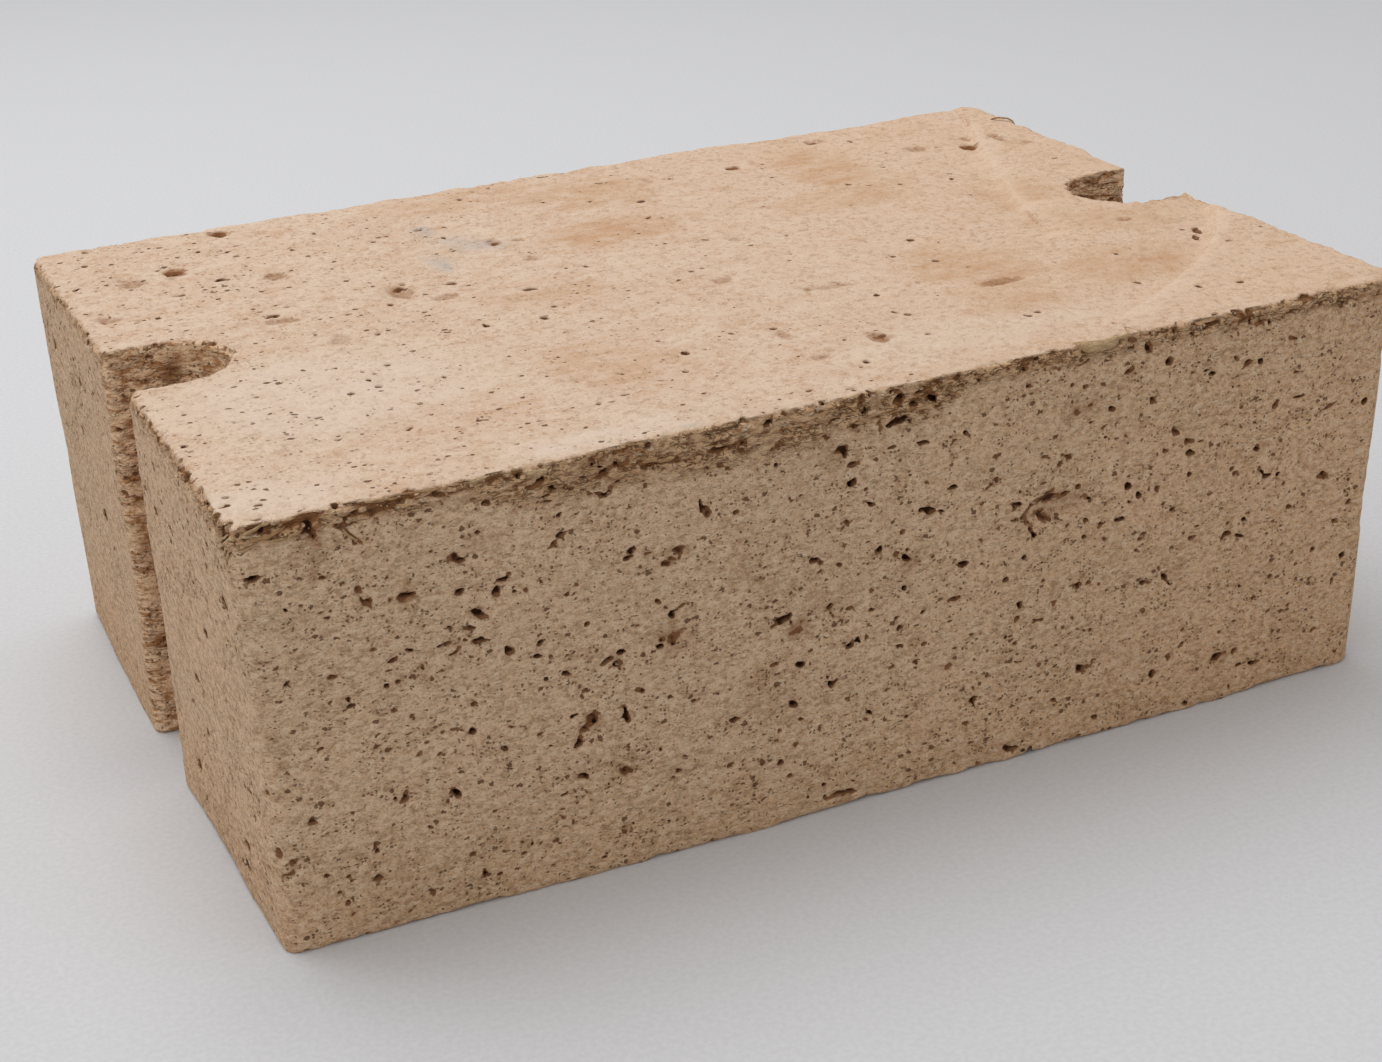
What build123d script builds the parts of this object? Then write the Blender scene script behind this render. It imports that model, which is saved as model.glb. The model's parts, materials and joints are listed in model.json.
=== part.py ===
from build123d import *
from functools import partial
import os

# Adobe brick: one block of earth and chopped straw, moulded by hand in a single piece.
# A round-ended key slot runs the full height of each end. The long sides swell a little at the base,
# and pits and chips are left where straw, stones and crumbs came away.
# Frame: X along the length, Y from the front face to the back face, Z up.
# The origin is the middle of the base.

# Driving dimensions, in millimetres
LENGTH = 300.0  # end to end, where the ends meet the top
WIDTH = 200.0  # front face to back face, where they meet the top
FRONT_LEFT_HEIGHT = 100.0  # the lowest corner of the struck top
RISE_ALONG_LENGTH = 6.0  # the top climbs this much from the left end to the right end
RISE_ACROSS_WIDTH = 6.0  # and this much from the front face to the back face
END_BATTER = 2.5  # each end leans in by this much from the top down to the base
BELLY = 2.2  # the front and the back swell by this much at the middle of the base
SLOT_WIDTH = 28.0  # between the slot's two flat walls
SLOT_DEPTH = 28.0  # from the end, at the top, to the slot's round bottom
FRONT_LEFT_CORNER = 4.0  # radii of the upright corners, which are not worn alike
FRONT_RIGHT_CORNER = 8.0
BACK_LEFT_CORNER = 6.5
BACK_RIGHT_CORNER = 11.0
SLOT_LIP_RADIUS = 3.0  # upright edges at the slot's mouth
TOP_EDGE_RADIUS = 2.5  # worn edge round the top
BASE_EDGE_RADIUS = 1.5  # edge round the base, which wears less

# Main pits and chips of each face: along it and up it in hundredths of its length and height, mouth, depth.
# Along runs to the right as a side is seen from outside. On the top and the base it runs from the left end,
# and up from the front face.
FRONT_PITS = [
    (1.5, 99.0, 11.0, 2.0),
    (5.5, 97.0, 6.0, 2.6),
    (28.7, 99.0, 16.0, 1.6),
    (11.7, 77.6, 4.6, 1.6),
    (18.8, 75.1, 3.4, 2.2),
    (29.0, 76.1, 2.8, 2.4),
    (16.9, 66.5, 4.4, 2.0),
    (7.3, 55.4, 3.2, 1.8),
    (27.2, 52.5, 4.6, 2.2),
    (31.5, 54.2, 6.0, 2.0),
    (41.5, 50.4, 5.0, 4.0),
    (25.0, 38.3, 4.2, 1.8),
    (10.5, 30.7, 2.8, 2.4),
    (27.3, 24.7, 4.2, 1.6),
    (42.6, 38.9, 2.6, 2.2),
    (36.3, 18.9, 3.2, 1.6),
    (45.8, 3.4, 6.0, 1.8),
    (51.3, 91.5, 4.6, 2.8),
    (54.3, 68.5, 4.6, 3.2),
    (52.0, 58.5, 4.0, 1.6),
    (61.1, 47.0, 2.6, 2.4),
    (65.7, 62.7, 15.0, 1.3),
    (71.8, 55.1, 3.8, 3.0),
    (73.3, 61.9, 3.6, 2.0),
    (70.7, 83.0, 2.8, 2.2),
    (80.2, 86.8, 4.2, 2.4),
    (84.4, 86.8, 3.8, 2.6),
    (78.6, 68.9, 4.2, 2.6),
    (89.5, 75.3, 3.6, 2.2),
    (96.0, 70.3, 3.2, 2.2),
    (86.2, 60.6, 3.6, 2.4),
    (83.7, 43.9, 4.6, 3.0),
    (76.7, 37.5, 3.6, 2.0),
    (82.8, 12.1, 4.4, 2.0),
]
BACK_PITS = [
    (23.3, 98.6, 15.0, 2.0),
    (74.0, 98.6, 20.0, 2.2),
    (9.3, 73.6, 4.2, 2.4),
    (17.3, 32.1, 4.6, 2.6),
    (23.3, 84.9, 3.6, 2.0),
    (28.0, 56.6, 5.0, 3.0),
    (36.7, 20.8, 4.0, 2.2),
    (39.3, 77.4, 4.4, 2.6),
    (46.7, 47.2, 5.4, 3.0),
    (55.3, 83.0, 3.8, 2.2),
    (57.3, 24.5, 4.6, 2.4),
    (65.3, 58.5, 5.0, 2.8),
    (71.3, 37.7, 3.8, 2.2),
    (75.3, 79.2, 4.2, 2.4),
    (82.0, 15.1, 4.4, 2.2),
    (84.0, 54.7, 4.8, 2.8),
    (92.0, 73.6, 4.0, 2.4),
    (94.0, 32.1, 4.4, 2.4),
]
LEFT_PITS = [
    (98.0, 97.2, 9.0, 2.0),
    (89.0, 99.5, 14.0, 1.6),
    (10.0, 83.0, 5.0, 1.6),
    (24.0, 81.1, 4.0, 1.6),
    (20.0, 66.0, 4.0, 1.6),
    (27.0, 47.2, 5.0, 1.6),
    (64.0, 76.4, 3.6, 2.0),
    (80.0, 75.5, 3.6, 2.0),
    (81.5, 61.3, 4.0, 2.0),
    (77.0, 55.7, 3.4, 1.8),
    (94.0, 79.2, 3.2, 2.0),
    (89.0, 47.2, 3.2, 1.8),
    (73.0, 42.5, 3.2, 1.6),
    (68.0, 15.1, 4.6, 2.0),
    (88.0, 14.6, 4.6, 2.2),
    (87.0, 8.5, 4.0, 2.2),
]
RIGHT_PITS = [
    (11.0, 64.2, 4.2, 2.2),
    (19.0, 28.3, 4.8, 2.6),
    (28.0, 83.0, 3.6, 2.0),
    (35.0, 49.1, 4.6, 2.4),
    (64.0, 71.7, 4.4, 2.4),
    (70.0, 32.1, 5.0, 2.8),
    (79.0, 56.6, 4.0, 2.2),
    (84.0, 84.9, 3.6, 2.0),
    (90.0, 20.8, 4.2, 2.2),
]
TOP_PITS = [
    (10.3, 83.0, 4.6, 1.4),
    (13.3, 76.8, 2.8, 1.6),
    (14.7, 59.1, 3.2, 1.8),
    (30.6, 59.9, 3.4, 1.5),
    (35.7, 52.0, 3.6, 1.7),
    (40.4, 21.3, 2.4, 1.5),
    (54.5, 79.2, 2.6, 1.7),
    (59.9, 19.7, 2.2, 1.6),
    (69.0, 35.5, 2.2, 1.6),
    (78.3, 67.5, 2.0, 1.5),
    (87.4, 8.2, 2.2, 1.6),
    (91.3, 80.0, 4.8, 1.4),
    (92.5, 27.2, 3.4, 1.8),
    (94.0, 29.5, 3.4, 2.2),
]
BASE_PITS = [
    (12.0, 24.0, 5.0, 2.4),
    (20.0, 70.0, 4.4, 2.2),
    (34.0, 40.0, 5.4, 2.6),
    (42.0, 82.0, 4.6, 2.2),
    (58.0, 18.0, 5.0, 2.4),
    (66.0, 62.0, 5.4, 2.6),
    (80.0, 34.0, 4.6, 2.2),
    (88.0, 76.0, 5.0, 2.4),
]

# Sizes worked out from them
HALF_LENGTH = LENGTH / 2
HALF_WIDTH = WIDTH / 2
SLOT_RADIUS = SLOT_WIDTH / 2
SLOT_ROUND_CENTRE = HALF_LENGTH - SLOT_DEPTH + SLOT_RADIUS
BEYOND_SLOT = (HALF_WIDTH + SLOT_RADIUS) / 2  # across, from the middle to well clear of a slot
MIDDLE_HEIGHT = FRONT_LEFT_HEIGHT + (RISE_ALONG_LENGTH + RISE_ACROSS_WIDTH) / 2
TALLEST = FRONT_LEFT_HEIGHT + RISE_ALONG_LENGTH + RISE_ACROSS_WIDTH
PAST_BLOCK = 20.0  # how far a cutting shape runs past the block
STOCK_HEIGHT = TALLEST + PAST_BLOCK  # of the block before its top is struck off
UPRIGHT = 0.9  # least vertical share of an upright edge's direction
CORNERS = [
    (-1, -1, FRONT_LEFT_CORNER),
    (1, -1, FRONT_RIGHT_CORNER),
    (-1, 1, BACK_LEFT_CORNER),
    (1, 1, BACK_RIGHT_CORNER),
]


def struck_top():
    """Plane of the top, which slopes along the length and across the width."""
    along = Vector(LENGTH, 0, RISE_ALONG_LENGTH)
    across = Vector(0, WIDTH, RISE_ACROSS_WIDTH)
    return Plane(origin=(0, 0, MIDDLE_HEIGHT), x_dir=along, z_dir=along.cross(across))


def top_height(x, y):
    """Height of the struck top over a place on the base."""
    return MIDDLE_HEIGHT + RISE_ALONG_LENGTH * x / LENGTH + RISE_ACROSS_WIDTH * y / WIDTH


def swell(x, z):
    """How far the front and the back stand out, x from the middle and z up: most at the base."""
    return BELLY * (1 - (x / HALF_LENGTH) ** 2) * (1 - z / MIDDLE_HEIGHT)


def end_reach(z):
    """Distance from the middle to an end, z up."""
    return HALF_LENGTH - END_BATTER * (1 - z / MIDDLE_HEIGHT)


def battered_ends():
    """Space between the two ends, wider than the block."""
    outline = Plane.XZ * Polygon(
        (-end_reach(0), 0),
        (end_reach(0), 0),
        (end_reach(STOCK_HEIGHT), STOCK_HEIGHT),
        (-end_reach(STOCK_HEIGHT), STOCK_HEIGHT),
        align=None,
    )
    return extrude(outline, amount=HALF_WIDTH + PAST_BLOCK, both=True)


def long_sides_plan(z):
    """Plan of the space between the front and the back, z up, longer than the block."""
    reach = HALF_LENGTH + PAST_BLOCK
    outer, middle = HALF_WIDTH + swell(reach, z), HALF_WIDTH + swell(0, z)
    front = ThreePointArc((-reach, -outer), (0, -middle), (reach, -outer))
    right = Line((reach, -outer), (reach, outer))
    back = ThreePointArc((reach, outer), (0, middle), (-reach, outer))
    left = Line((-reach, outer), (-reach, -outer))
    return Pos(0, 0, z) * make_face([front, right, back, left])


def blank():
    """Block between its four sides, before the top is struck off."""
    long_sides = loft([long_sides_plan(0), long_sides_plan(STOCK_HEIGHT)], ruled=True)
    return battered_ends() & long_sides


def above_top():
    """Everything that the strike takes off."""
    reach = LENGTH + WIDTH + TALLEST
    lump = Box(reach, reach, reach, align=(Align.CENTER, Align.CENTER, Align.MIN))
    return struck_top() * lump


def slot(side):
    """Space of the slot in one end, -1 for left and 1 for right: a straight mouth and a half circle."""
    mouth_length = HALF_LENGTH + PAST_BLOCK - SLOT_ROUND_CENTRE
    mouth = Pos(SLOT_ROUND_CENTRE + mouth_length / 2, 0) * Rectangle(mouth_length, SLOT_WIDTH)
    plan = mouth + Pos(SLOT_ROUND_CENTRE, 0) * Circle(SLOT_RADIUS)
    space = extrude(plan, amount=STOCK_HEIGHT)
    return space if side > 0 else space.rotate(Axis.Z, 180)


def upright_edges(block):
    """All edges of the block that run from its base to its top."""
    return [edge for edge in block.edges() if abs((edge % 0.5).Z) > UPRIGHT]


def corner_edge(block, x_side, y_side):
    """One upright corner, out beyond the slots. Sides are -1 or 1."""
    on_side = [edge for edge in upright_edges(block) if (edge @ 0.5).Y * y_side > BEYOND_SLOT]
    return [edge for edge in on_side if (edge @ 0.5).X * x_side > 0]


def slot_lip_edges(block):
    """The four upright edges where a slot's flat wall meets an end."""
    half_way = (SLOT_ROUND_CENTRE + HALF_LENGTH - END_BATTER) / 2
    inner = [edge for edge in upright_edges(block) if abs((edge @ 0.5).Y) < BEYOND_SLOT]
    return [edge for edge in inner if abs((edge @ 0.5).X) > half_way]


def rounded(block):
    """The block with its corners, slot lips, top edge and base edge rounded."""
    for x_side, y_side, radius in CORNERS:
        block = fillet(corner_edge(block, x_side, y_side), radius)
    block = fillet(slot_lip_edges(block), SLOT_LIP_RADIUS)
    top = block.faces().filter_by(GeomType.PLANE).sort_by(Axis.Z)[-1]
    block = fillet(top.edges(), TOP_EDGE_RADIUS)
    base = block.faces().filter_by(GeomType.PLANE).sort_by(Axis.Z)[0]
    return fillet(base.edges(), BASE_EDGE_RADIUS)


def on_long_side(side, along, up):
    """(place, way out) on the front, -1, or the back, 1. Along and up are shares of the face."""
    x = side * LENGTH * (0.5 - along)
    z = up * top_height(x, side * HALF_WIDTH)
    return Vector(x, side * (HALF_WIDTH + swell(x, z)), z), Vector(0, side, 0)


def on_end(side, along, up):
    """(place, way out) on the left end, -1, or the right end, 1."""
    y = side * WIDTH * (along - 0.5)
    z = up * top_height(side * HALF_LENGTH, y)
    return Vector(side * end_reach(z), y, z), Vector(side, 0, 0)


def on_bed(side, along, up):
    """(place, way out) on the base, -1, or the top, 1."""
    x, y = LENGTH * (along - 0.5), WIDTH * (up - 0.5)
    return Vector(x, y, top_height(x, y) if side > 0 else 0), Vector(0, 0, side)


def pits():
    """The space of every main pit and chip, each the part of a ball that dips into its face."""
    faces = [
        (partial(on_long_side, -1), FRONT_PITS),
        (partial(on_long_side, 1), BACK_PITS),
        (partial(on_end, -1), LEFT_PITS),
        (partial(on_end, 1), RIGHT_PITS),
        (partial(on_bed, 1), TOP_PITS),
        (partial(on_bed, -1), BASE_PITS),
    ]
    balls = []
    for on_face, rows in faces:
        for along, up, mouth, depth in rows:
            place, out = on_face(along / 100, up / 100)
            radius = (mouth**2 / 4 + depth**2) / (2 * depth)
            centre = place + out * (radius - depth)
            balls.append(Plane(centre, z_dir=out) * Sphere(radius))
    return balls


def adobe_brick():
    """The whole brick."""
    block = blank() - above_top()
    for side in (-1, 1):
        block -= slot(side)
    return rounded(block) - pits()


os.makedirs("parts", exist_ok=True)
export_step(adobe_brick(), "parts/adobe_brick.step")
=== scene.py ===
"""Looks of the adobe brick: its worn and pitted skin, its straw and grit, and a plain studio round it."""
import json
import math
from functools import lru_cache
from typing import NamedTuple

import bpy
import numpy as np
import openvdb
from mathutils import Matrix, Vector


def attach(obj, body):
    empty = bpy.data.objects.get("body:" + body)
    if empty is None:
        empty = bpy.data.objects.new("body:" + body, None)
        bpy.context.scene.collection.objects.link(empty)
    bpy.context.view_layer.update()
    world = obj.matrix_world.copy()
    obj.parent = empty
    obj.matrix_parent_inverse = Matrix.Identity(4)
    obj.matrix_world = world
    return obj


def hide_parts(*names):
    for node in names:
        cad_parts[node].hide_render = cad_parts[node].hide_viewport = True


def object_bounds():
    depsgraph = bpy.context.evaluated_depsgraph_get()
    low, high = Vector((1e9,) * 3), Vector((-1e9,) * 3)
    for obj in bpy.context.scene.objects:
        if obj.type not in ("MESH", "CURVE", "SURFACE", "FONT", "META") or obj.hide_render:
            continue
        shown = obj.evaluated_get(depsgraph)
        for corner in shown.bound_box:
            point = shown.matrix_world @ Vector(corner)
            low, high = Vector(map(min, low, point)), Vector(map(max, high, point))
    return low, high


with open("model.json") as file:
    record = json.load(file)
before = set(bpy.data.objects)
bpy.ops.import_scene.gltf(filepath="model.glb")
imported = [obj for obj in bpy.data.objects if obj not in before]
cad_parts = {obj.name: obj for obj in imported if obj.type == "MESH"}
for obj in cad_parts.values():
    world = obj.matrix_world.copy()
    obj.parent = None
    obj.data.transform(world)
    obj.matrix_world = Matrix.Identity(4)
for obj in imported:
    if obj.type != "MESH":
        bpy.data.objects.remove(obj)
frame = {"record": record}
cad_low, cad_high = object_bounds()

# Units and detail. Shapes are worked out in millimetres and written to Blender in metres.
MM = 0.001
NODE = "adobe_brick"
BODY = "root"
VOXEL = 0.5  # spacing of the grid that the skin is carved in
BAND = 8 * VOXEL  # distances to the skin are cut off here
MARGIN = 12  # empty grid steps round the brick
MOST_TRIANGLES = 196_000

# The brick, from the frame. Its long sides are carved straight, and swell again afterwards.
LOW = np.array(cad_low) / MM
HIGH = np.array(cad_high) / MM
MOUNTS = {mount["name"]: mount for mount in frame["record"]["mounts"]}
TOP_MIDDLE = np.array(MOUNTS["top_bed"]["pos_m"]) / MM
TOP_OUT = np.array(MOUNTS["top_bed"]["axis"])
HEIGHT = TOP_MIDDLE[2]
SLOT_RADIUS = MOUNTS["left_key_slot"]["dims"]["r_mm"]
SLOT_CENTRE = MOUNTS["right_key_slot"]["pos_m"][0] / MM  # how far out the round bottom's centre is
SLOT_LIP = 3.0  # radius of the upright edges at a slot's mouth
END_BATTER = 2.5  # each end leans in by this much at the base
BELLY = 2.2  # the long sides swell by this much at the middle of the base
END_BELLY = 1.0  # and the ends by this much
BASE_EDGE = 1.5  # radius of the solid's base edge, over which its long sides reach furthest out
HALF_WIDTH = HIGH[1] - BELLY * (1.0 - BASE_EDGE / HEIGHT)
LOW[1], HIGH[1] = -HALF_WIDTH, HALF_WIDTH


def unit(vector):
    """The vector at length 1."""
    vector = np.asarray(vector, float)
    return vector / np.linalg.norm(vector)


def top_height(x, y):
    """Height of the struck top over a place on the floor."""
    lean = TOP_OUT[0] * (x - TOP_MIDDLE[0]) + TOP_OUT[1] * (y - TOP_MIDDLE[1])
    return TOP_MIDDLE[2] - lean / TOP_OUT[2]


def smooth_step(low, high, value):
    """0 below low, 1 above high, and an even curve between."""
    share = np.clip((value - low) / (high - low), 0.0, 1.0)
    return share * share * (3.0 - 2.0 * share)


LATTICE = 64


@lru_cache(maxsize=None)
def lattice(seed):
    """A block of random numbers from -1 to 1."""
    return np.random.default_rng(seed).uniform(-1.0, 1.0, (LATTICE,) * 3).astype(np.float32)


def soft_noise(points, size, seed):
    """Smooth random values from -1 to 1 at points in mm. size is the lumps' width, or one for each axis."""
    table = lattice(seed)
    place = np.asarray(points, np.float32) / np.asarray(size, np.float32)
    cell = np.floor(place).astype(np.int32)
    part = place - cell
    part = part * part * (3.0 - 2.0 * part)
    total = np.zeros(place.shape[:-1], np.float32)
    for corner in np.ndindex(2, 2, 2):
        index = (cell + np.array(corner, np.int32)) % LATTICE
        weight = np.prod(np.where(corner, part, 1.0 - part), axis=-1)
        total += weight * table[index[..., 0], index[..., 1], index[..., 2]]
    return total


class Face(NamedTuple):
    """One side of the brick: a corner, the ways along and up it, the way out of it, and its size."""

    corner: np.ndarray
    along: np.ndarray
    up: np.ndarray
    out: np.ndarray
    wide: float
    high: float

    def lean(self, z):
        """How far the face stands back from the brick's box, z up."""
        return END_BATTER * (1.0 - z / HEIGHT) if abs(self.out[0]) > 0.9 else 0.0

    def point(self, a, b):
        """Place a along and b up from the corner. On the sides, b is HEIGHT all along the sloping top."""
        foot = self.corner + a * self.along
        if abs(self.out[2]) > 0.5:
            return foot + b * self.up
        z = b * top_height(foot[0], foot[1]) / HEIGHT
        return foot + z * self.up - self.lean(z) * self.out

    def over(self, points):
        """How far points stand out of the face, negative inside the brick."""
        return (points - self.corner) @ self.out + self.lean(points[..., 2])


X, Y, Z = np.eye(3)
LENGTH, WIDTH = HIGH[0] - LOW[0], HIGH[1] - LOW[1]
TOP_ALONG = unit((TOP_OUT[2], 0.0, -TOP_OUT[0]))
TOP_UP = unit((0.0, TOP_OUT[2], -TOP_OUT[1]))
TOP_CORNER = np.array([LOW[0], LOW[1], top_height(LOW[0], LOW[1])])
FACES = {
    "front": Face(LOW, X, Z, -Y, LENGTH, HEIGHT),
    "back": Face(np.array([HIGH[0], HIGH[1], 0.0]), -X, Z, Y, LENGTH, HEIGHT),
    "left": Face(np.array([LOW[0], HIGH[1], 0.0]), -Y, Z, -X, WIDTH, HEIGHT),
    "right": Face(np.array([HIGH[0], LOW[1], 0.0]), Y, Z, X, WIDTH, HEIGHT),
    "top": Face(TOP_CORNER, TOP_ALONG, TOP_UP, TOP_OUT, LENGTH, WIDTH),
    "base": Face(np.array([LOW[0], HIGH[1], 0.0]), X, -Y, -Z, LENGTH, WIDTH),
}
WALLS = [FACES[name] for name in ("front", "back", "left", "right")]
CORNER_RADII = {(-1, -1): 4.0, (1, -1): 8.0, (-1, 1): 6.5, (1, 1): 11.0}  # by the signs of x and y


def slot_over(points):
    """How far points stand out of a key slot's wall into the slot, negative in the earth."""
    past = np.abs(points[..., 0]) - SLOT_CENTRE
    return SLOT_RADIUS - np.hypot(np.minimum(past, 0.0), points[..., 1])


def rounded_max(first, second, radius):
    """The larger of two distances, with the edge where they meet rounded."""
    outer = np.hypot(np.maximum(first + radius, 0.0), np.maximum(second + radius, 0.0))
    return outer + np.minimum(np.maximum(first, second) + radius, 0.0) - radius


def block(points):
    """How far points lie outside the unworn brick, negative inside. Its top and base edges are square."""
    front, back, left, right = (wall.over(points) for wall in WALLS)
    radius = np.zeros(points.shape[:-1])
    for (x_side, y_side), corner_radius in CORNER_RADII.items():
        radius[(points[..., 0] * x_side >= 0) & (points[..., 1] * y_side >= 0)] = corner_radius
    plan = rounded_max(np.maximum(left, right), np.maximum(front, back), radius)
    plan = rounded_max(plan, slot_over(points), SLOT_LIP)
    return np.maximum(plan, np.maximum(FACES["top"].over(points), FACES["base"].over(points)))


FACE_BLEND = 1.5  # depth over which one face's way out gives way to the next one's at an edge


def outward(points):
    """The unworn brick's way out at points near its skin."""
    way = np.zeros(points.shape)
    for face in FACES.values():
        way += np.exp(np.minimum(face.over(points), 0.0) / FACE_BLEND)[:, None] * face.out
    past = np.minimum(np.abs(points[:, 0]) - SLOT_CENTRE, 0.0) * np.sign(points[:, 0])
    into_slot = np.stack([-past, -points[:, 1], np.zeros(len(points))], axis=-1)
    into_slot /= np.maximum(np.linalg.norm(into_slot, axis=1, keepdims=True), 1e-6)
    way += np.exp(np.minimum(slot_over(points), 0.0) / FACE_BLEND)[:, None] * into_slot
    return way / np.maximum(np.linalg.norm(way, axis=1, keepdims=True), 1e-6)


REACH_OUT, REACH_IN = 2.0, 5.0  # how far either side of the unworn skin the carved one is looked for
PAINT_REACH = 0.6  # a hollow's depth is noted this far into its walls


class Clay:
    """The brick as a block of distances to its skin, in mm, negative inside, which hollows are dug in."""

    def __init__(self):
        self.first = np.floor(LOW / VOXEL).astype(int) - MARGIN
        last = np.ceil(HIGH / VOXEL).astype(int) + MARGIN
        x, y, z = (np.arange(a, b) * VOXEL for a, b in zip(self.first, last))
        self.distance = np.empty((len(x), len(y), len(z)), np.float32)
        self.hollow = np.zeros(self.distance.shape, np.float16)
        for i in range(len(x)):
            points = np.stack(np.meshgrid(x[i], y, z, indexing="ij"), axis=-1)
            self.distance[i] = np.clip(block(points)[0], -BAND, BAND)

    def on_carved(self, point, out):
        """The point moved along out onto the carved surface, or None where that has gone."""
        reach = np.arange(REACH_OUT, -REACH_IN, -0.25)
        index = np.rint((point + reach[:, None] * out) / VOXEL).astype(int) - self.first
        i, j, k = np.clip(index, 0, np.array(self.distance.shape) - 1).T
        inside = self.distance[i, j, k] < 0.0
        return point + reach[np.argmax(inside)] * out if inside.any() else None

    def depth(self, points):
        """Depth of the hollow that each point lies in, 0 on the skin."""
        place = points / VOXEL - self.first
        cell = np.clip(np.floor(place).astype(int), 0, np.array(self.hollow.shape) - 2)
        part = np.clip(place - cell, 0.0, 1.0)
        total = np.zeros(len(points))
        for corner in np.ndindex(2, 2, 2):
            i, j, k = (cell + np.array(corner)).T
            total += np.prod(np.where(corner, part, 1.0 - part), axis=1) * self.hollow[i, j, k]
        return total

    def window(self, low, high):
        """(the part of the block between two corners, its points)."""
        size = self.distance.shape
        start = np.clip(np.floor(np.asarray(low) / VOXEL).astype(int) - self.first, 0, size)
        stop = np.clip(np.ceil(np.asarray(high) / VOXEL).astype(int) + 1 - self.first, 0, size)
        steps = [(np.arange(a, b) + f) * VOXEL for a, b, f in zip(start, stop, self.first)]
        points = np.stack(np.meshgrid(*steps, indexing="ij"), axis=-1)
        return tuple(slice(a, b) for a, b in zip(start, stop)), points

    def take(self, part, outside):
        """Carves away what lies outside the given distances."""
        self.distance[part] = np.maximum(self.distance[part], outside)

    def note(self, part, depth):
        """Keeps the depth of a hollow for the skin's colour, which darkens with it: the earth's brown and
        painted shade.
        """
        self.hollow[part] = np.maximum(self.hollow[part], depth)

    def skin(self):
        """(points, quads) of the carved surface, in mm."""
        grid = openvdb.FloatGrid(float(BAND))
        grid.transform = openvdb.createLinearTransform(VOXEL)
        grid.copyFromArray(self.distance, ijk=tuple(int(step) for step in self.first))
        points, _, quads = grid.convertToPolygons(0.0, 0.0)
        return points.astype(np.float64), quads.astype(np.int32)


ROUGH_LUMP = 1.3  # size of the lumps in a hole's ragged rim


def dig(clay, centre, along, up, out, size, rough=0.45, under=0.0, power=2.0, tint=1.0):
    """Carves a ragged hollow: size is its length, height and depth. under tips it up beneath its upper lip.

    A power of 2 gives it round ends, and a lower one points. A low tint leaves it the skin's colour; a high
    one lets it darken with depth, partly brown earth and partly painted shade.
    """
    half = np.array([size[0] / 2, size[1] / 2, size[2]])
    lean = math.radians(under)
    deep = math.cos(lean) * out - math.sin(lean) * up
    rise = math.cos(lean) * up + math.sin(lean) * out
    reach = half.max() * (1.0 + rough) + 2 * VOXEL
    part, points = clay.window(centre - reach, centre + reach)
    if not points.size:
        return
    offset = points - centre
    axes = np.stack([offset @ along / half[0], offset @ rise / half[1], offset @ deep / half[2]], axis=-1)
    radius = (np.abs(axes) ** power).sum(axis=-1) ** (1.0 / power)
    radius *= 1.0 + rough * soft_noise(points + 40.0, ROUGH_LUMP, 5)
    outside = (1.0 - radius) * half.min()
    clay.take(part, outside)
    clay.note(part, np.where(outside > -PAINT_REACH, -tint * block(points), 0.0))


def dig_face(clay, face, a, b, size, tilt=0.0, rough=0.45, under=0.0, power=2.0, tint=1.0):
    """Carves a hollow a along and b up a face, turned by tilt degrees."""
    turn = math.radians(tilt)
    along = math.cos(turn) * face.along + math.sin(turn) * face.up
    up = math.cos(turn) * face.up - math.sin(turn) * face.along
    dig(clay, face.point(a, b), along, up, face.out, size, rough, under, power, tint)


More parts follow.
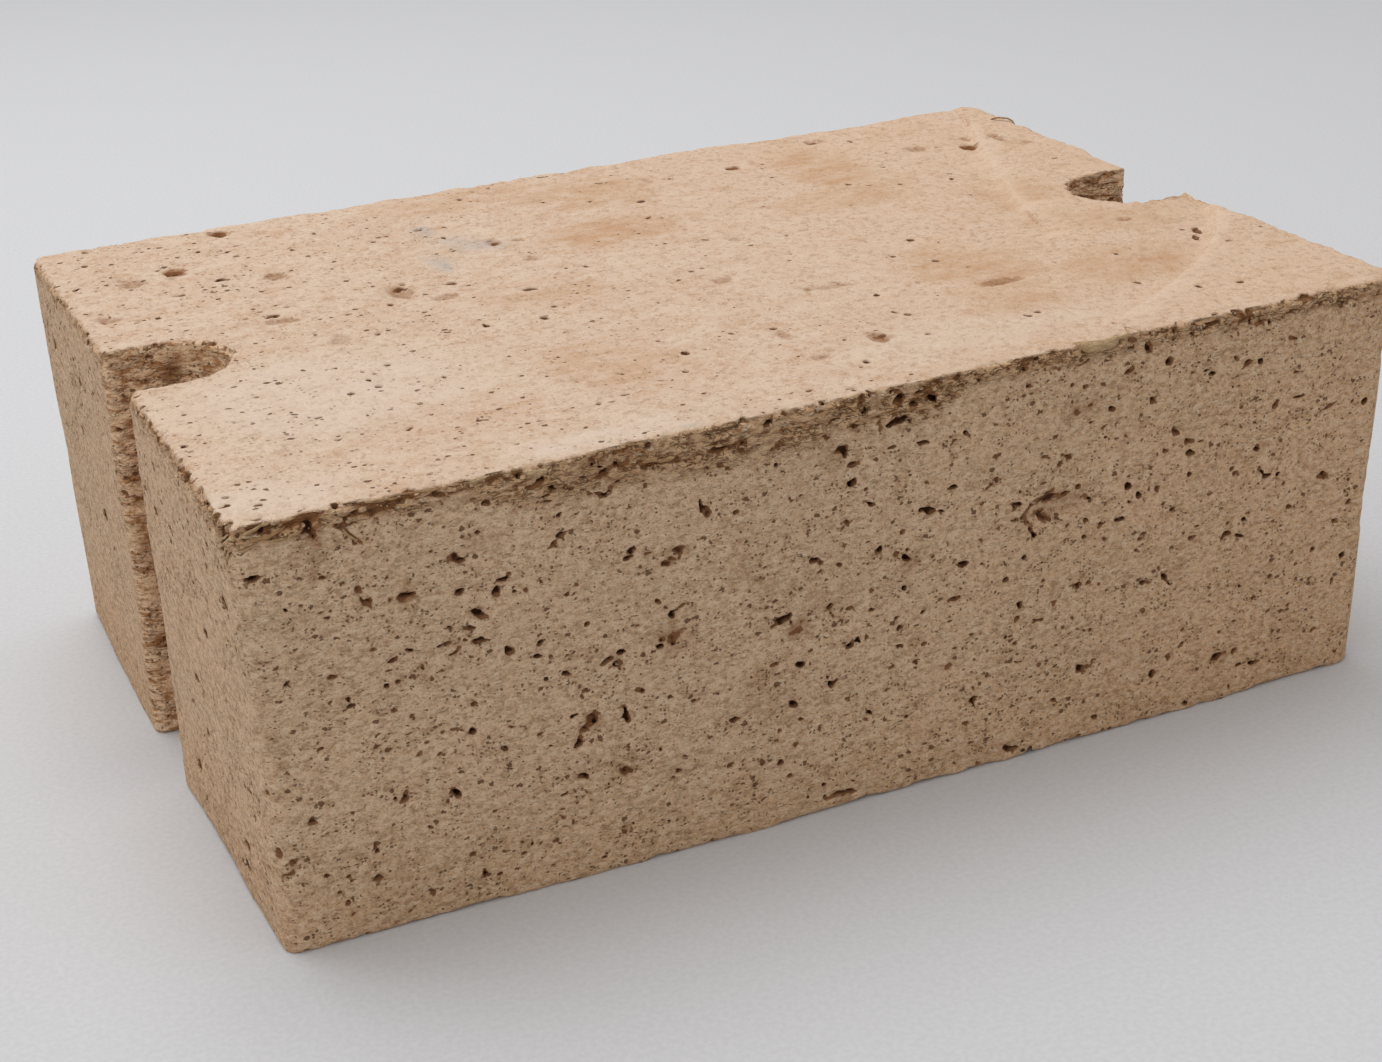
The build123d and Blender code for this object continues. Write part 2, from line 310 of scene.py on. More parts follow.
# Holes on the front: along from the left end, up from the base, length, height, depth, tilt in degrees
FRONT_HOLES = [
    (16.5, 103.4, 3.0, 7.0, 1.8, 8), (66.5, 102.0, 3.0, 2.6, 4.0, 0), (4.5, 94.0, 4.0, 1.6, 1.8, 6),
    (35.0, 82.3, 4.6, 2.6, 1.2, 12), (25.5, 86.5, 2.6, 2.4, 1.6, 40), (57.0, 80.8, 3.0, 1.3, 2.2, 0),
    (55.5, 78.3, 1.8, 1.8, 1.8, 60), (87.0, 80.7, 2.6, 1.4, 2.6, 0), (51.0, 73.8, 4.0, 1.9, 2.0, -12),
    (50.5, 67.3, 4.2, 1.5, 2.0, -14), (52.0, 93.2, 2.2, 1.6, 1.8, 0), (70.3, 88.3, 2.6, 1.6, 2.0, 12),
    (30.5, 65.3, 2.6, 1.1, 1.6, 10), (64.7, 63.7, 2.2, 1.5, 1.8, 10), (22.0, 58.7, 3.2, 1.2, 1.8, 8),
    (80.0, 55.0, 4.0, 1.5, 2.0, 20), (83.2, 56.2, 3.4, 1.6, 2.2, 4), (95.3, 58.0, 5.5, 7.0, 0.4, 0),
    (95.6, 62.2, 1.3, 3.2, 2.2, 20), (92.5, 55.2, 2.6, 1.9, 2.4, -20), (123.8, 54.2, 4.2, 3.2, 5.0, 10),
    (126.8, 51.0, 4.4, 4.2, 0.7, 30), (75.0, 41.2, 3.6, 3.6, 1.4, 30), (73.4, 38.8, 3.0, 1.5, 1.6, -20),
    (83.5, 40.4, 1.7, 4.0, 2.0, 14), (94.2, 41.8, 1.9, 1.6, 3.0, -30), (31.5, 32.5, 2.6, 2.3, 2.6, -20),
    (72.5, 27.0, 3.0, 1.7, 2.0, 0), (82.5, 25.8, 5.4, 2.2, 1.0, 0), (127.8, 41.2, 2.4, 1.9, 2.2, 14),
    (127.5, 26.8, 2.0, 1.4, 2.0, 0), (109.0, 20.0, 4.2, 1.2, 1.4, 32), (69.5, 15.2, 1.2, 1.8, 1.8, 0),
    (48.0, 8.0, 1.3, 2.8, 1.8, 6), (147.0, 50.7, 2.4, 1.0, 2.4, 0), (110.5, 31.5, 2.8, 1.0, 1.8, -6),
    (137.5, 3.6, 6.4, 2.2, 1.8, -4), (4.6, 20.5, 2.6, 1.2, 1.6, 24), (3.4, 15.0, 1.0, 2.6, 1.2, 8),
    (17.0, 10.0, 1.1, 2.4, 1.6, 20), (65.0, 54.0, 1.7, 1.6, 2.2, -30), (70.3, 53.8, 2.1, 1.4, 2.0, 10),
    (48.5, 52.0, 1.6, 1.6, 2.0, 0), (43.0, 47.0, 3.2, 1.0, 1.4, 0), (153.8, 97.0, 5.6, 1.9, 2.8, 10),
    (152.0, 91.0, 3.4, 1.3, 2.2, 8), (157.5, 100.2, 3.2, 1.5, 2.4, -4),
    (163.0, 100.5, 2.3, 1.9, 2.6, -20), (160.5, 90.5, 3.6, 1.1, 1.8, -6),
    (162.2, 72.9, 4.6, 2.3, 3.6, -8), (165.2, 72.0, 3.0, 1.0, 2.4, -14),
    (168.0, 77.3, 3.2, 1.2, 2.4, 0), (183.3, 49.8, 2.4, 2.0, 2.8, 0), (171.5, 56.8, 2.8, 1.4, 2.0, -8),
    (156.0, 62.0, 5.2, 2.0, 1.3, -28), (160.5, 46.8, 1.8, 1.4, 2.2, 20),
    (211.0, 58.3, 2.1, 1.5, 2.4, 0), (215.8, 58.5, 4.2, 1.4, 3.2, 0), (212.0, 88.0, 2.7, 1.6, 2.2, 0),
    (210.6, 81.1, 2.0, 1.1, 2.0, 0), (213.8, 80.2, 2.4, 1.2, 2.0, 0), (218.7, 66.5, 2.2, 1.9, 2.0, 0),
    (221.3, 63.8, 1.5, 3.2, 1.8, 20), (239.6, 92.5, 3.0, 1.2, 2.2, 10),
    (241.8, 91.3, 2.4, 1.2, 2.4, -12), (252.5, 92.0, 3.2, 1.6, 2.6, 16),
    (256.3, 91.8, 1.5, 1.7, 2.6, 0), (235.6, 74.8, 3.0, 1.3, 2.0, -20), (236.0, 71.8, 3.6, 1.9, 2.6, 0),
    (231.5, 78.3, 3.6, 1.7, 1.6, -32), (268.5, 79.8, 4.6, 1.2, 2.4, -6),
    (291.0, 74.5, 2.6, 3.0, 2.2, 30), (278.5, 75.0, 4.2, 1.2, 1.6, 20),
    (257.0, 68.2, 2.7, 1.9, 2.4, -22), (260.3, 60.3, 2.7, 2.2, 2.6, 0),
    (249.0, 47.2, 3.2, 1.9, 3.2, -10), (253.0, 45.8, 5.0, 1.5, 2.8, -20),
    (230.2, 39.8, 5.0, 1.0, 2.2, -56), (269.3, 50.0, 2.4, 1.5, 2.0, -10),
    (248.5, 12.8, 4.2, 2.8, 2.0, 10), (260.5, 7.9, 4.2, 1.7, 2.0, -16),
    (256.0, 8.6, 3.2, 1.0, 1.6, -12), (294.5, 13.2, 4.4, 1.6, 2.0, 0), (204.5, 43.5, 4.2, 1.0, 1.4, 0),
    (193.0, 36.5, 2.8, 1.0, 1.8, 0), (200.0, 78.3, 3.0, 1.6, 2.2, -30),
    (203.6, 70.0, 1.5, 1.2, 2.4, 20), (206.8, 66.0, 2.2, 1.2, 2.4, -30),
    (191.2, 59.6, 1.8, 1.8, 2.6, 0),
]

# Holes on the top: along from the left end, up from the front, length, height, depth, tilt in degrees
TOP_HOLES = [
    (31.0, 166.0, 4.2, 4.6, 1.2, 0), (40.0, 153.5, 2.8, 2.6, 1.6, 0), (28.3, 147.3, 2.2, 2.0, 1.4, 0),
    (36.0, 145.0, 2.2, 1.7, 1.2, 0), (40.0, 148.0, 1.6, 1.6, 1.2, 0), (36.0, 139.6, 1.6, 1.7, 1.6, 0),
    (44.2, 118.2, 3.0, 2.8, 1.8, 0), (41.3, 126.0, 1.4, 1.5, 1.4, 0), (42.0, 123.0, 1.9, 1.3, 1.3, 0),
    (49.0, 123.0, 1.4, 1.4, 1.3, 0), (78.0, 122.4, 2.6, 2.0, 1.4, 30), (80.6, 125.4, 2.0, 1.8, 1.2, 0),
    (91.7, 119.8, 3.4, 2.2, 1.5, 8), (107.0, 104.0, 3.8, 2.4, 1.7, 10), (88.0, 85.0, 2.1, 2.0, 1.6, 20),
    (107.5, 89.0, 1.9, 1.7, 1.3, 0), (113.7, 145.3, 2.4, 2.8, 1.1, 0), (58.0, 72.3, 1.5, 1.4, 1.4, 0),
    (52.0, 60.2, 2.2, 1.7, 1.5, -10), (45.0, 59.2, 1.6, 1.5, 1.2, 0), (67.0, 58.2, 1.3, 1.7, 1.3, 20),
    (51.5, 70.5, 1.3, 1.3, 1.2, 0), (53.5, 68.0, 1.3, 1.3, 1.2, 0), (34.0, 34.2, 1.4, 1.3, 1.2, 0),
    (121.2, 42.6, 2.4, 2.0, 1.5, 0), (126.5, 43.0, 1.6, 1.5, 1.2, 0), (136.6, 49.2, 1.5, 1.3, 1.2, 0),
    (163.5, 158.3, 2.5, 2.3, 1.7, 0), (201.0, 174.6, 3.4, 2.4, 1.2, 0),
    (206.6, 160.0, 1.6, 1.6, 1.3, 0), (235.0, 135.0, 1.7, 1.9, 1.5, 0), (207.0, 71.0, 2.1, 1.9, 1.6, 0),
    (194.2, 58.3, 1.5, 1.4, 1.3, 0), (179.6, 39.3, 2.1, 1.9, 1.6, 0), (166.5, 29.4, 2.4, 2.0, 1.2, 30),
    (262.2, 16.3, 2.1, 1.7, 1.6, 20), (274.0, 160.0, 4.0, 5.0, 1.3, 60),
    (282.0, 59.0, 2.6, 4.2, 2.2, -24), (277.6, 54.4, 2.0, 4.8, 1.8, -30),
    (232.0, 53.0, 1.3, 1.3, 1.2, 20), (148.5, 95.2, 1.5, 1.7, 1.3, 0), (99.8, 167.2, 2.6, 2.2, 0.9, 0),
    (50.0, 192.0, 3.6, 4.2, 1.2, 0),
]

# Brown patches on the top: along from the left end, up from the front, half length, half width, strength
TOP_STAINS = [
    (31.0, 166.0, 3.2, 3.6, 0.9), (19.0, 163.0, 3.4, 4.0, 0.7), (53.5, 148.5, 3.0, 3.4, 0.8),
    (7.5, 138.0, 3.0, 2.6, 0.8), (45.5, 113.6, 4.6, 2.4, 0.7), (77.5, 119.5, 3.4, 5.4, 0.7),
    (87.0, 110.0, 4.0, 2.4, 0.6), (117.5, 127.5, 2.6, 2.4, 0.6), (113.7, 145.5, 2.2, 3.0, 0.8),
    (120.0, 145.5, 1.8, 1.8, 0.7), (50.0, 192.0, 2.8, 3.2, 0.8), (152.0, 85.0, 2.6, 2.6, 0.7),
    (146.5, 41.0, 1.6, 4.0, 0.5), (147.0, 24.0, 2.4, 1.4, 0.6), (201.0, 174.5, 2.6, 2.2, 0.7),
    (165.0, 28.0, 2.6, 3.6, 0.8), (212.0, 48.5, 6.5, 2.2, 0.8), (175.0, 67.0, 5.0, 2.0, 0.5),
    (168.5, 68.0, 2.6, 1.4, 0.5), (274.0, 160.0, 2.8, 3.6, 0.9), (285.0, 162.0, 1.8, 5.4, 0.7),
    (278.0, 168.0, 1.6, 2.4, 0.6), (258.0, 164.5, 3.0, 3.0, 0.6), (290.5, 153.0, 2.0, 2.0, 0.6),
    (235.0, 187.5, 3.2, 2.6, 0.5), (269.0, 74.5, 2.2, 2.0, 0.5), (171.0, 114.5, 2.4, 2.2, 0.5),
    (173.5, 176.0, 1.4, 3.2, 0.5), (54.0, 94.0, 3.2, 3.0, 0.4),
]

STAIN_DEPTH = 0.6  # the skin is off the top's brown patches by this much

# Main hollows of the other faces, as the solid has them: along and up in hundredths, mouth, depth
OTHER_HOLES = {
    "back": [
        (9.3, 73.6, 4.2, 2.4), (17.3, 32.1, 4.6, 2.6), (23.3, 84.9, 3.6, 2.0), (28.0, 56.6, 5.0, 3.0),
        (36.7, 20.8, 4.0, 2.2), (39.3, 77.4, 4.4, 2.6), (46.7, 47.2, 5.4, 3.0), (55.3, 83.0, 3.8, 2.2),
        (57.3, 24.5, 4.6, 2.4), (65.3, 58.5, 5.0, 2.8), (71.3, 37.7, 3.8, 2.2), (75.3, 79.2, 4.2, 2.4),
        (82.0, 15.1, 4.4, 2.2), (84.0, 54.7, 4.8, 2.8), (92.0, 73.6, 4.0, 2.4), (94.0, 32.1, 4.4, 2.4),
    ],
    "left": [
        (10.0, 83.0, 5.0, 1.6), (24.0, 81.1, 4.0, 1.6), (20.0, 66.0, 4.0, 1.6), (27.0, 47.2, 5.0, 1.6),
        (64.0, 76.4, 3.6, 2.0), (80.0, 75.5, 3.6, 2.0), (81.5, 61.3, 4.0, 2.0), (77.0, 55.7, 3.4, 1.8),
        (94.0, 79.2, 3.2, 2.0), (89.0, 47.2, 3.2, 1.8), (73.0, 42.5, 3.2, 1.6), (68.0, 15.1, 4.6, 2.0),
        (88.0, 14.6, 4.6, 2.2), (87.0, 8.5, 4.0, 2.2),
    ],
    "right": [
        (11.0, 64.2, 4.2, 2.2), (19.0, 28.3, 4.8, 2.6), (28.0, 83.0, 3.6, 2.0), (35.0, 49.1, 4.6, 2.4),
        (64.0, 71.7, 4.4, 2.4), (70.0, 32.1, 5.0, 2.8), (79.0, 56.6, 4.0, 2.2), (84.0, 84.9, 3.6, 2.0),
        (90.0, 20.8, 4.2, 2.2),
    ],
    "base": [
        (12.0, 76.0, 5.0, 2.4), (20.0, 30.0, 4.4, 2.2), (34.0, 60.0, 5.4, 2.6), (42.0, 18.0, 4.6, 2.2),
        (58.0, 82.0, 5.0, 2.4), (66.0, 38.0, 5.4, 2.6), (80.0, 66.0, 4.6, 2.2), (88.0, 24.0, 5.0, 2.4),
    ],
}


LIP_UNDER = 15.0  # degrees that a side's hollows tip up beneath their upper lips


def landmark_holes(clay):
    """The hollows that stand out on the front and the top."""
    for a, b, length, height, depth, tilt in FRONT_HOLES:
        size = (0.95 * length, 0.8 * height, depth)
        dig_face(clay, FACES["front"], a, b, size, tilt, 0.7, LIP_UNDER, 1.6)
    for a, b, length, height, depth, tilt in TOP_HOLES:
        dig_face(clay, FACES["top"], a, b, (length, height, depth), tilt)
    for a, b, half_length, half_width, _ in TOP_STAINS:
        size = (2 * half_length, 2 * half_width, STAIN_DEPTH)
        dig_face(clay, FACES["top"], a, b, size, 0.0, 0.35, tint=0.3)
    rng = np.random.default_rng(3)
    for name, rows in OTHER_HOLES.items():
        face = FACES[name]
        for along, up, mouth, depth in rows:
            a, b = 0.01 * along * face.wide, 0.01 * up * face.high
            size = (rng.uniform(0.9, 1.2) * mouth, rng.uniform(0.5, 0.8) * mouth, depth)
            dig_face(clay, face, a, b, size, rng.normal(0.0, 20.0), 0.6, LIP_UNDER, 1.7)


class Pores(NamedTuple):
    """A scatter of small hollows on one face."""

    count: int
    length: float  # the middle one's length, mm
    spread: float  # of the lengths' logarithm
    longest: float
    flattest: float  # greatest length over height
    crowding: float  # over 1 gathers them towards the face's first end


PORES = {
    "front": Pores(500, 1.25, 0.32, 2.6, 2.4, 1.0),
    "back": Pores(400, 1.35, 0.36, 3.4, 2.6, 1.0),
    "left": Pores(230, 1.25, 0.32, 2.6, 2.2, 1.0),
    "right": Pores(250, 1.35, 0.36, 3.4, 2.4, 1.0),
    "top": Pores(210, 1.2, 0.3, 2.1, 2.0, 1.6),
    "base": Pores(120, 1.8, 0.4, 4.0, 2.0, 1.0),
}


PORE_TILT = 22.0  # spread of the pores' tilts, in degrees
LOBE_CHANCE = 0.55
LOBE_REACH = 0.55  # from a pore's middle to its side lobe's, in lengths


def scatter_pores(clay):
    """Random small hollows on every face, most with a side lobe."""
    for seed, (name, pores) in enumerate(PORES.items()):
        face = FACES[name]
        rng = np.random.default_rng(100 + seed)
        for _ in range(pores.count):
            a, b = face.wide * rng.random() ** pores.crowding, rng.uniform(0.0, face.high)
            length = min(pores.length * math.exp(rng.normal(0.0, pores.spread)), pores.longest)
            height = length / rng.uniform(1.0, pores.flattest)
            depth = rng.uniform(0.7, 1.3) * (0.7 + 0.75 * height)
            tilt = rng.normal(0.0, PORE_TILT)
            power = rng.uniform(1.2, 2.0)
            dig_face(clay, face, a, b, (length, height, depth), tilt, 0.8, LIP_UNDER, power)
            if rng.random() < LOBE_CHANCE:
                swing = math.radians(tilt + rng.normal(0.0, 45.0))
                a += LOBE_REACH * length * math.cos(swing)
                b += LOBE_REACH * length * math.sin(swing)
                share = rng.uniform(0.45, 0.8)
                size = (share * length, share * length * 0.7, share * depth)
                dig_face(clay, face, a, b, size, tilt + 50.0)


# Thin cracks on the front: points along from the left end and up from the base
FRONT_CRACKS = [
    [(76.0, 97.8), (77.6, 96.6), (79.4, 96.2)],
    [(188.8, 63.6), (190.0, 61.8), (191.0, 60.2)],
    [(188.0, 65.4), (189.0, 66.8), (190.8, 68.4), (193.0, 69.0), (195.0, 70.0), (196.2, 70.6)],
    [(92.5, 66.6), (94.2, 64.6), (95.6, 63.0), (98.5, 64.4)],
    [(22.6, 102.0), (24.6, 99.6), (26.6, 97.6)],
]
CRACK_PIECE = (2.2, 0.8, 1.1)  # length, width and depth of the small hollows in a crack
CRACK_STEP = 0.9


def cracks(clay):
    """Thin cracks, dug as a row of small hollows."""
    face = FACES["front"]
    for line in FRONT_CRACKS:
        for (a0, b0), (a1, b1) in zip(line, line[1:]):
            run = math.hypot(a1 - a0, b1 - b0)
            tilt = math.degrees(math.atan2(b1 - b0, a1 - a0))
            for share in np.linspace(0.0, 1.0, max(2, int(run / CRACK_STEP))):
                a, b = a0 + share * (a1 - a0), b0 + share * (b1 - b0)
                dig_face(clay, face, a, b, CRACK_PIECE, tilt)


def gouge(clay):
    """The torn hollow on the front: deepest beneath its upper left lip, running out to the lower right."""
    face = FACES["front"]
    # the shade beneath the upper lip is painted as a dark spot among the front's stains
    dig_face(clay, face, 198.0, 66.0, (19.0, 8.0, 1.4), 8.0, rough=0.12, under=9.0, tint=0.1)
    dig_face(clay, face, 194.0, 66.8, (11.0, 5.0, 1.9), 20.0, rough=0.2, under=14.0, tint=0.1)
    dig_face(clay, face, 196.4, 73.0, (1.2, 5.0, 0.5), -4.0, rough=0.4, tint=0.3)
    for a, b in ((195.8, 68.6), (199.8, 69.0), (203.6, 70.0), (193.0, 64.8), (191.4, 59.6)):
        dig_face(clay, face, a, b, (1.7, 1.0, 1.8), 8.0)


def wear_edge(clay, first, second, start, end, radius, ragged, lump, seed):
    """Rounds the edge between two faces, by a radius that wanders by ragged over lumps of that size."""
    reach = radius + 2.0 * ragged + 2.0
    low, high = np.minimum(start, end) - reach, np.maximum(start, end) + reach
    part, points = clay.window(low, high)
    wander = 0.65 * soft_noise(points, lump, seed) + 0.35 * soft_noise(points, lump / 3.1, seed + 1)
    local = np.maximum(radius + 1.6 * ragged * wander, 0.3)
    over_first, over_second = first.over(points), second.over(points)
    rounded = np.hypot(np.maximum(over_first + local, 0.0), np.maximum(over_second + local, 0.0)) - local
    clay.take(part, rounded)


def corner_at(x_side, y_side, top):
    """A corner of the brick: sides are -1 or 1."""
    x = HIGH[0] if x_side > 0 else LOW[0]
    y = HIGH[1] if y_side > 0 else LOW[1]
    return np.array([x, y, top_height(x, y) if top else 0.0])


# The brick's edges: two faces, the signs of x and y at both ends, radius, raggedness, size of the lumps
EDGES = [
    ("top", "front", (-1, -1), (1, -1), 1.3, 0.9, 4.0),
    ("top", "back", (-1, 1), (1, 1), 3.2, 1.8, 7.0),
    ("top", "left", (-1, -1), (-1, 1), 2.3, 1.6, 4.0),
    ("top", "right", (1, -1), (1, 1), 2.6, 1.6, 6.0),
    ("base", "front", (-1, -1), (1, -1), 1.5, 1.1, 5.0),
    ("base", "back", (-1, 1), (1, 1), 1.8, 1.3, 6.0),
    ("base", "left", (-1, -1), (-1, 1), 1.6, 1.1, 5.0),
    ("base", "right", (1, -1), (1, 1), 1.8, 1.3, 6.0),
    ("front", "left", (-1, -1), (-1, -1), CORNER_RADII[-1, -1], 1.2, 6.0),
    ("front", "right", (1, -1), (1, -1), CORNER_RADII[1, -1], 1.5, 8.0),
    ("back", "left", (-1, 1), (-1, 1), CORNER_RADII[-1, 1], 1.5, 8.0),
    ("back", "right", (1, 1), (1, 1), CORNER_RADII[1, 1], 2.0, 10.0),
]


def wear_edges(clay):
    """All twelve edges, with the radius and raggedness that each shows."""
    for number, (first, second, start, end, radius, ragged, lump) in enumerate(EDGES):
        start, end = corner_at(*start, first == "top"), corner_at(*end, first != "base")
        wear_edge(clay, FACES[first], FACES[second], start, end, radius, ragged, lump, 20 + 2 * number)


TORN_FROM, TORN_TO = 58.0, 168.0  # the stretch of the front's top edge that is torn furthest down
TORN_BAND = 10.0
LIP_BAND = 4.4  # height of the torn band elsewhere

# Wandering cracks under the lip: how far below the edge, and where they start
LIP_CRACKS = [(0.9, 8.0), (2.1, 22.0)]

# Flat crevices: height of their band, first and last place along, number
CREVICES = [
    (TORN_BAND, TORN_FROM, TORN_TO, 190),
    (LIP_BAND, TORN_TO - 15.0, LENGTH - 4.0, 150),
    (LIP_BAND, 4.0, TORN_FROM, 16),
]

# Crumbled places: face, along, up, width, height, number of hollows
CRUMBLED = [
    ("front", 5.0, 103.5, 10.0, 4.0, 16),
    ("front", 86.0, 101.0, 12.0, 8.0, 18),
    ("left", 195.0, 100.0, 9.0, 10.0, 26),
    ("left", 172.0, 103.8, 46.0, 3.6, 44),
    ("left", 58.0, 104.6, 110.0, 2.6, 40),
    ("right", 100.0, 103.6, 190.0, 4.0, 70),
    ("back", 150.0, 103.6, 290.0, 4.0, 90),
]


EDGE_BITES = 0.25  # for each mm of an upper edge


def bite(clay, place, along, out, size, lift, length, tint):
    """Takes a small bite out of an upper edge. Its lift off the edge and its length are in sizes."""
    up = unit(np.cross(out, along))
    dig(clay, place + lift * size * out, along, up, out, (length * size, size, 0.6 * size), 0.7, tint=tint)


def torn_edge(clay):
    """The torn band beneath the front's top edge: wandering cracks, flat crevices and crumbled places."""
    face = FACES["front"]
    rng = np.random.default_rng(7)
    for below, first in LIP_CRACKS:
        for a in np.arange(first, TORN_FROM + 8.0, 1.5):
            size = (rng.uniform(3.0, 5.5), rng.uniform(0.6, 1.0), rng.uniform(0.7, 1.2))
            wander = 0.45 * math.sin(0.31 * a + below) + rng.normal(0.0, 0.15)
            dig_face(clay, face, a, HEIGHT - below + wander, size, rng.normal(0.0, 5.0), 0.5, tint=0.7)
    for band, first, last, count in CREVICES:
        for _ in range(count):
            a = rng.uniform(first, last)
            b = HEIGHT - 0.8 - band * rng.random() ** 1.2
            size = (rng.uniform(2.0, 9.0), rng.uniform(0.5, 0.9), rng.uniform(0.4, 0.9))
            dig_face(clay, face, a, b, size, rng.normal(0.0, 9.0), 0.85, power=1.4, tint=0.5)
    for name, a, b, wide, high, count in CRUMBLED:
        for _ in range(count):
            place = a + wide * rng.uniform(-0.5, 0.5), b + high * rng.uniform(-0.5, 0.5)
            size = (rng.uniform(1.5, 5.0), rng.uniform(0.8, 1.6), rng.uniform(0.5, 1.2))
            dig_face(clay, FACES[name], *place, size, rng.normal(8.0, 22.0), 0.7, power=1.5, tint=0.25)
    for name in ("front", "back", "left", "right"):
        bitten = FACES[name]
        for _ in range(round(EDGE_BITES * bitten.wide)):
            place = bitten.point(rng.uniform(2.0, bitten.wide - 2.0), HEIGHT)
            out = unit(bitten.out + 0.7 * Z)
            bite(clay, place, bitten.along, out, rng.uniform(0.9, 2.4), 0.25, 2.2, 0.2)


# Broken places: face, along, up, size, tilt
BROKEN = [
    ("front", 4.0, 105.0, (10.0, 3.4, 1.2), 10.0),
    ("front", 86.0, 104.5, (17.0, 6.0, 0.9), 4.0),
    ("front", 299.0, 69.0, (4.5, 4.5, 3.0), 0.0),
    ("left", 196.0, 103.5, (8.0, 5.0, 1.8), 30.0),
    ("left", 178.0, 105.5, (16.0, 3.0, 1.2), 4.0),
    ("back", 222.0, 104.5, (22.0, 4.0, 2.0), -3.0),
    ("back", 70.0, 104.5, (15.0, 4.0, 2.0), 4.0),
]


def broken_places(clay):
    """Larger chips along the edges."""
    for name, a, b, size, tilt in BROKEN:
        dig_face(clay, FACES[name], a, b, size, tilt, rough=0.5, tint=0.12)


def slot_place(side, run, height):
    """(point, along, out) on a key slot's wall, run mm round it from its front mouth. side is -1 or 1."""
    straight = abs(HIGH[0]) - SLOT_CENTRE
    bend = math.pi * SLOT_RADIUS
    if run < straight:
        x, y, along, out = HIGH[0] - run, -SLOT_RADIUS, (-1.0, 0.0), (0.0, 1.0)
    elif run < straight + bend:
        turn = (run - straight) / SLOT_RADIUS
        x = SLOT_CENTRE - SLOT_RADIUS * math.sin(turn)
        y = -SLOT_RADIUS * math.cos(turn)
        along, out = (-math.cos(turn), math.sin(turn)), (math.sin(turn), math.cos(turn))
    else:
        x, y = SLOT_CENTRE + run - straight - bend, SLOT_RADIUS
        along, out = (1.0, 0.0), (0.0, -1.0)
    flip = np.array([side, 1.0, 1.0])
    return np.array([x, y, height]) * flip, np.array([*along, 0.0]) * flip, np.array([*out, 0.0]) * flip


SLOT_RUN = 2 * (abs(HIGH[0]) - SLOT_CENTRE) + math.pi * SLOT_RADIUS


def slot_run(points):
    """How far round a key slot's wall from its front mouth points lie, as slot_place counts it."""
    past = np.abs(points[..., 0]) - SLOT_CENTRE
    turn = np.arctan2(np.maximum(-past, 0.0), -points[..., 1])
    straight = np.sign(points[..., 1]) * np.maximum(past, 0.0)
    return abs(HIGH[0]) - SLOT_CENTRE + SLOT_RADIUS * turn + straight


# For each key slot
SLOT_HOLLOWS = 260
SLOT_BITES = 45
SLOT_STRAWS = 30
SLOT_CRUMBS = 120


def slot_walls(clay):
    """Torn layers and hollows in both key slots."""
    rng = np.random.default_rng(11)
    for side in (-1, 1):
        for _ in range(SLOT_HOLLOWS):
            run, height = rng.uniform(0.0, SLOT_RUN), (HEIGHT + 4.0) * rng.random() ** 0.7
            point, along, out = slot_place(side, run, height)
            long = rng.random() < 0.4
            length = rng.uniform(3.0, 10.0) if long else rng.uniform(0.9, 2.4)
            size = (length, rng.uniform(0.5, 1.0), rng.uniform(0.5, 1.1))
            turn = rng.normal(0.0, 0.15)
            lean = unit(along * math.cos(turn) + Z * math.sin(turn))
            dig(clay, point, lean, unit(np.cross(out, lean)), out, size, 0.55, tint=0.4)
        for _ in range(SLOT_BITES):
            point, along, out = slot_place(side, rng.uniform(3.0, SLOT_RUN - 3.0), 0.0)
            point[2] = top_height(point[0], point[1])
            bite(clay, point, along, unit(out + 0.8 * Z), rng.uniform(0.8, 2.2), 0.3, 2.4, 0.4)


def largest_part(points, faces):
    """(points, faces) of a mesh's largest joined part, without what the carving cut off."""
    label = np.arange(len(points))
    while True:
        lowest = np.repeat(label[faces].min(axis=1), faces.shape[1])
        joined = label.copy()
        np.minimum.at(joined, label[faces].ravel(), lowest)
        np.minimum.at(joined, faces.ravel(), lowest)
        joined = joined[joined]
        if np.array_equal(joined, label):
            break
        label = joined
    kept = label == np.bincount(label).argmax()
    number = np.cumsum(kept) - 1
    return points[kept], number[faces[kept[faces[:, 0]]]].astype(np.int32)


BELLY_REACH = (0.55, 0.98)  # shares of the way out between which the belly comes in


def crown(points):
    """Moves points out by the slight belly that the sides have near the base."""
    x, y, z = points.T
    low = 1.0 - z / HEIGHT
    across_x = 1.0 - np.clip(x / HIGH[0], -1.0, 1.0) ** 2
    across_y = 1.0 - np.clip(y / HIGH[1], -1.0, 1.0) ** 2
    moved = points.copy()
    moved[:, 1] += np.sign(y) * smooth_step(*BELLY_REACH, np.abs(y) / HIGH[1]) * BELLY * across_x * low
    moved[:, 0] += np.sign(x) * smooth_step(*BELLY_REACH, np.abs(x) / HIGH[0]) * END_BELLY * across_y * low
    return moved


def vertex_normals(points, quads):
    """The way out of a mesh at each of its points."""
    first, second, third, fourth = (points[corner] for corner in quads.T)
    across = np.cross(third - first, fourth - second)
    normals = np.zeros(points.shape)
    for axis in range(3):
        for corner in quads.T:
            normals[:, axis] += np.bincount(corner, across[:, axis], len(points))
    return normals / np.maximum(np.linalg.norm(normals, axis=-1, keepdims=True), 1e-9)


def in_slot(points):
    """1 inside a key slot's walls, 0 away from them."""
    return smooth_step(-2.8, -1.2, slot_over(points))


def on_top(points, normals):
    """1 on the struck top and in its hollows, 0 elsewhere."""
    below = -FACES["top"].over(points)
    inside = -np.max([slot_over(points), *(wall.over(points) for wall in WALLS)], axis=0)
    clear = smooth_step(1.5, 3.0, inside - below)
    facing = smooth_step(0.35, 0.75, normals @ TOP_OUT) * smooth_step(-1.0, 1.0, inside - below)
    return np.maximum(clear, facing) * (1.0 - smooth_step(2.5, 4.5, below))


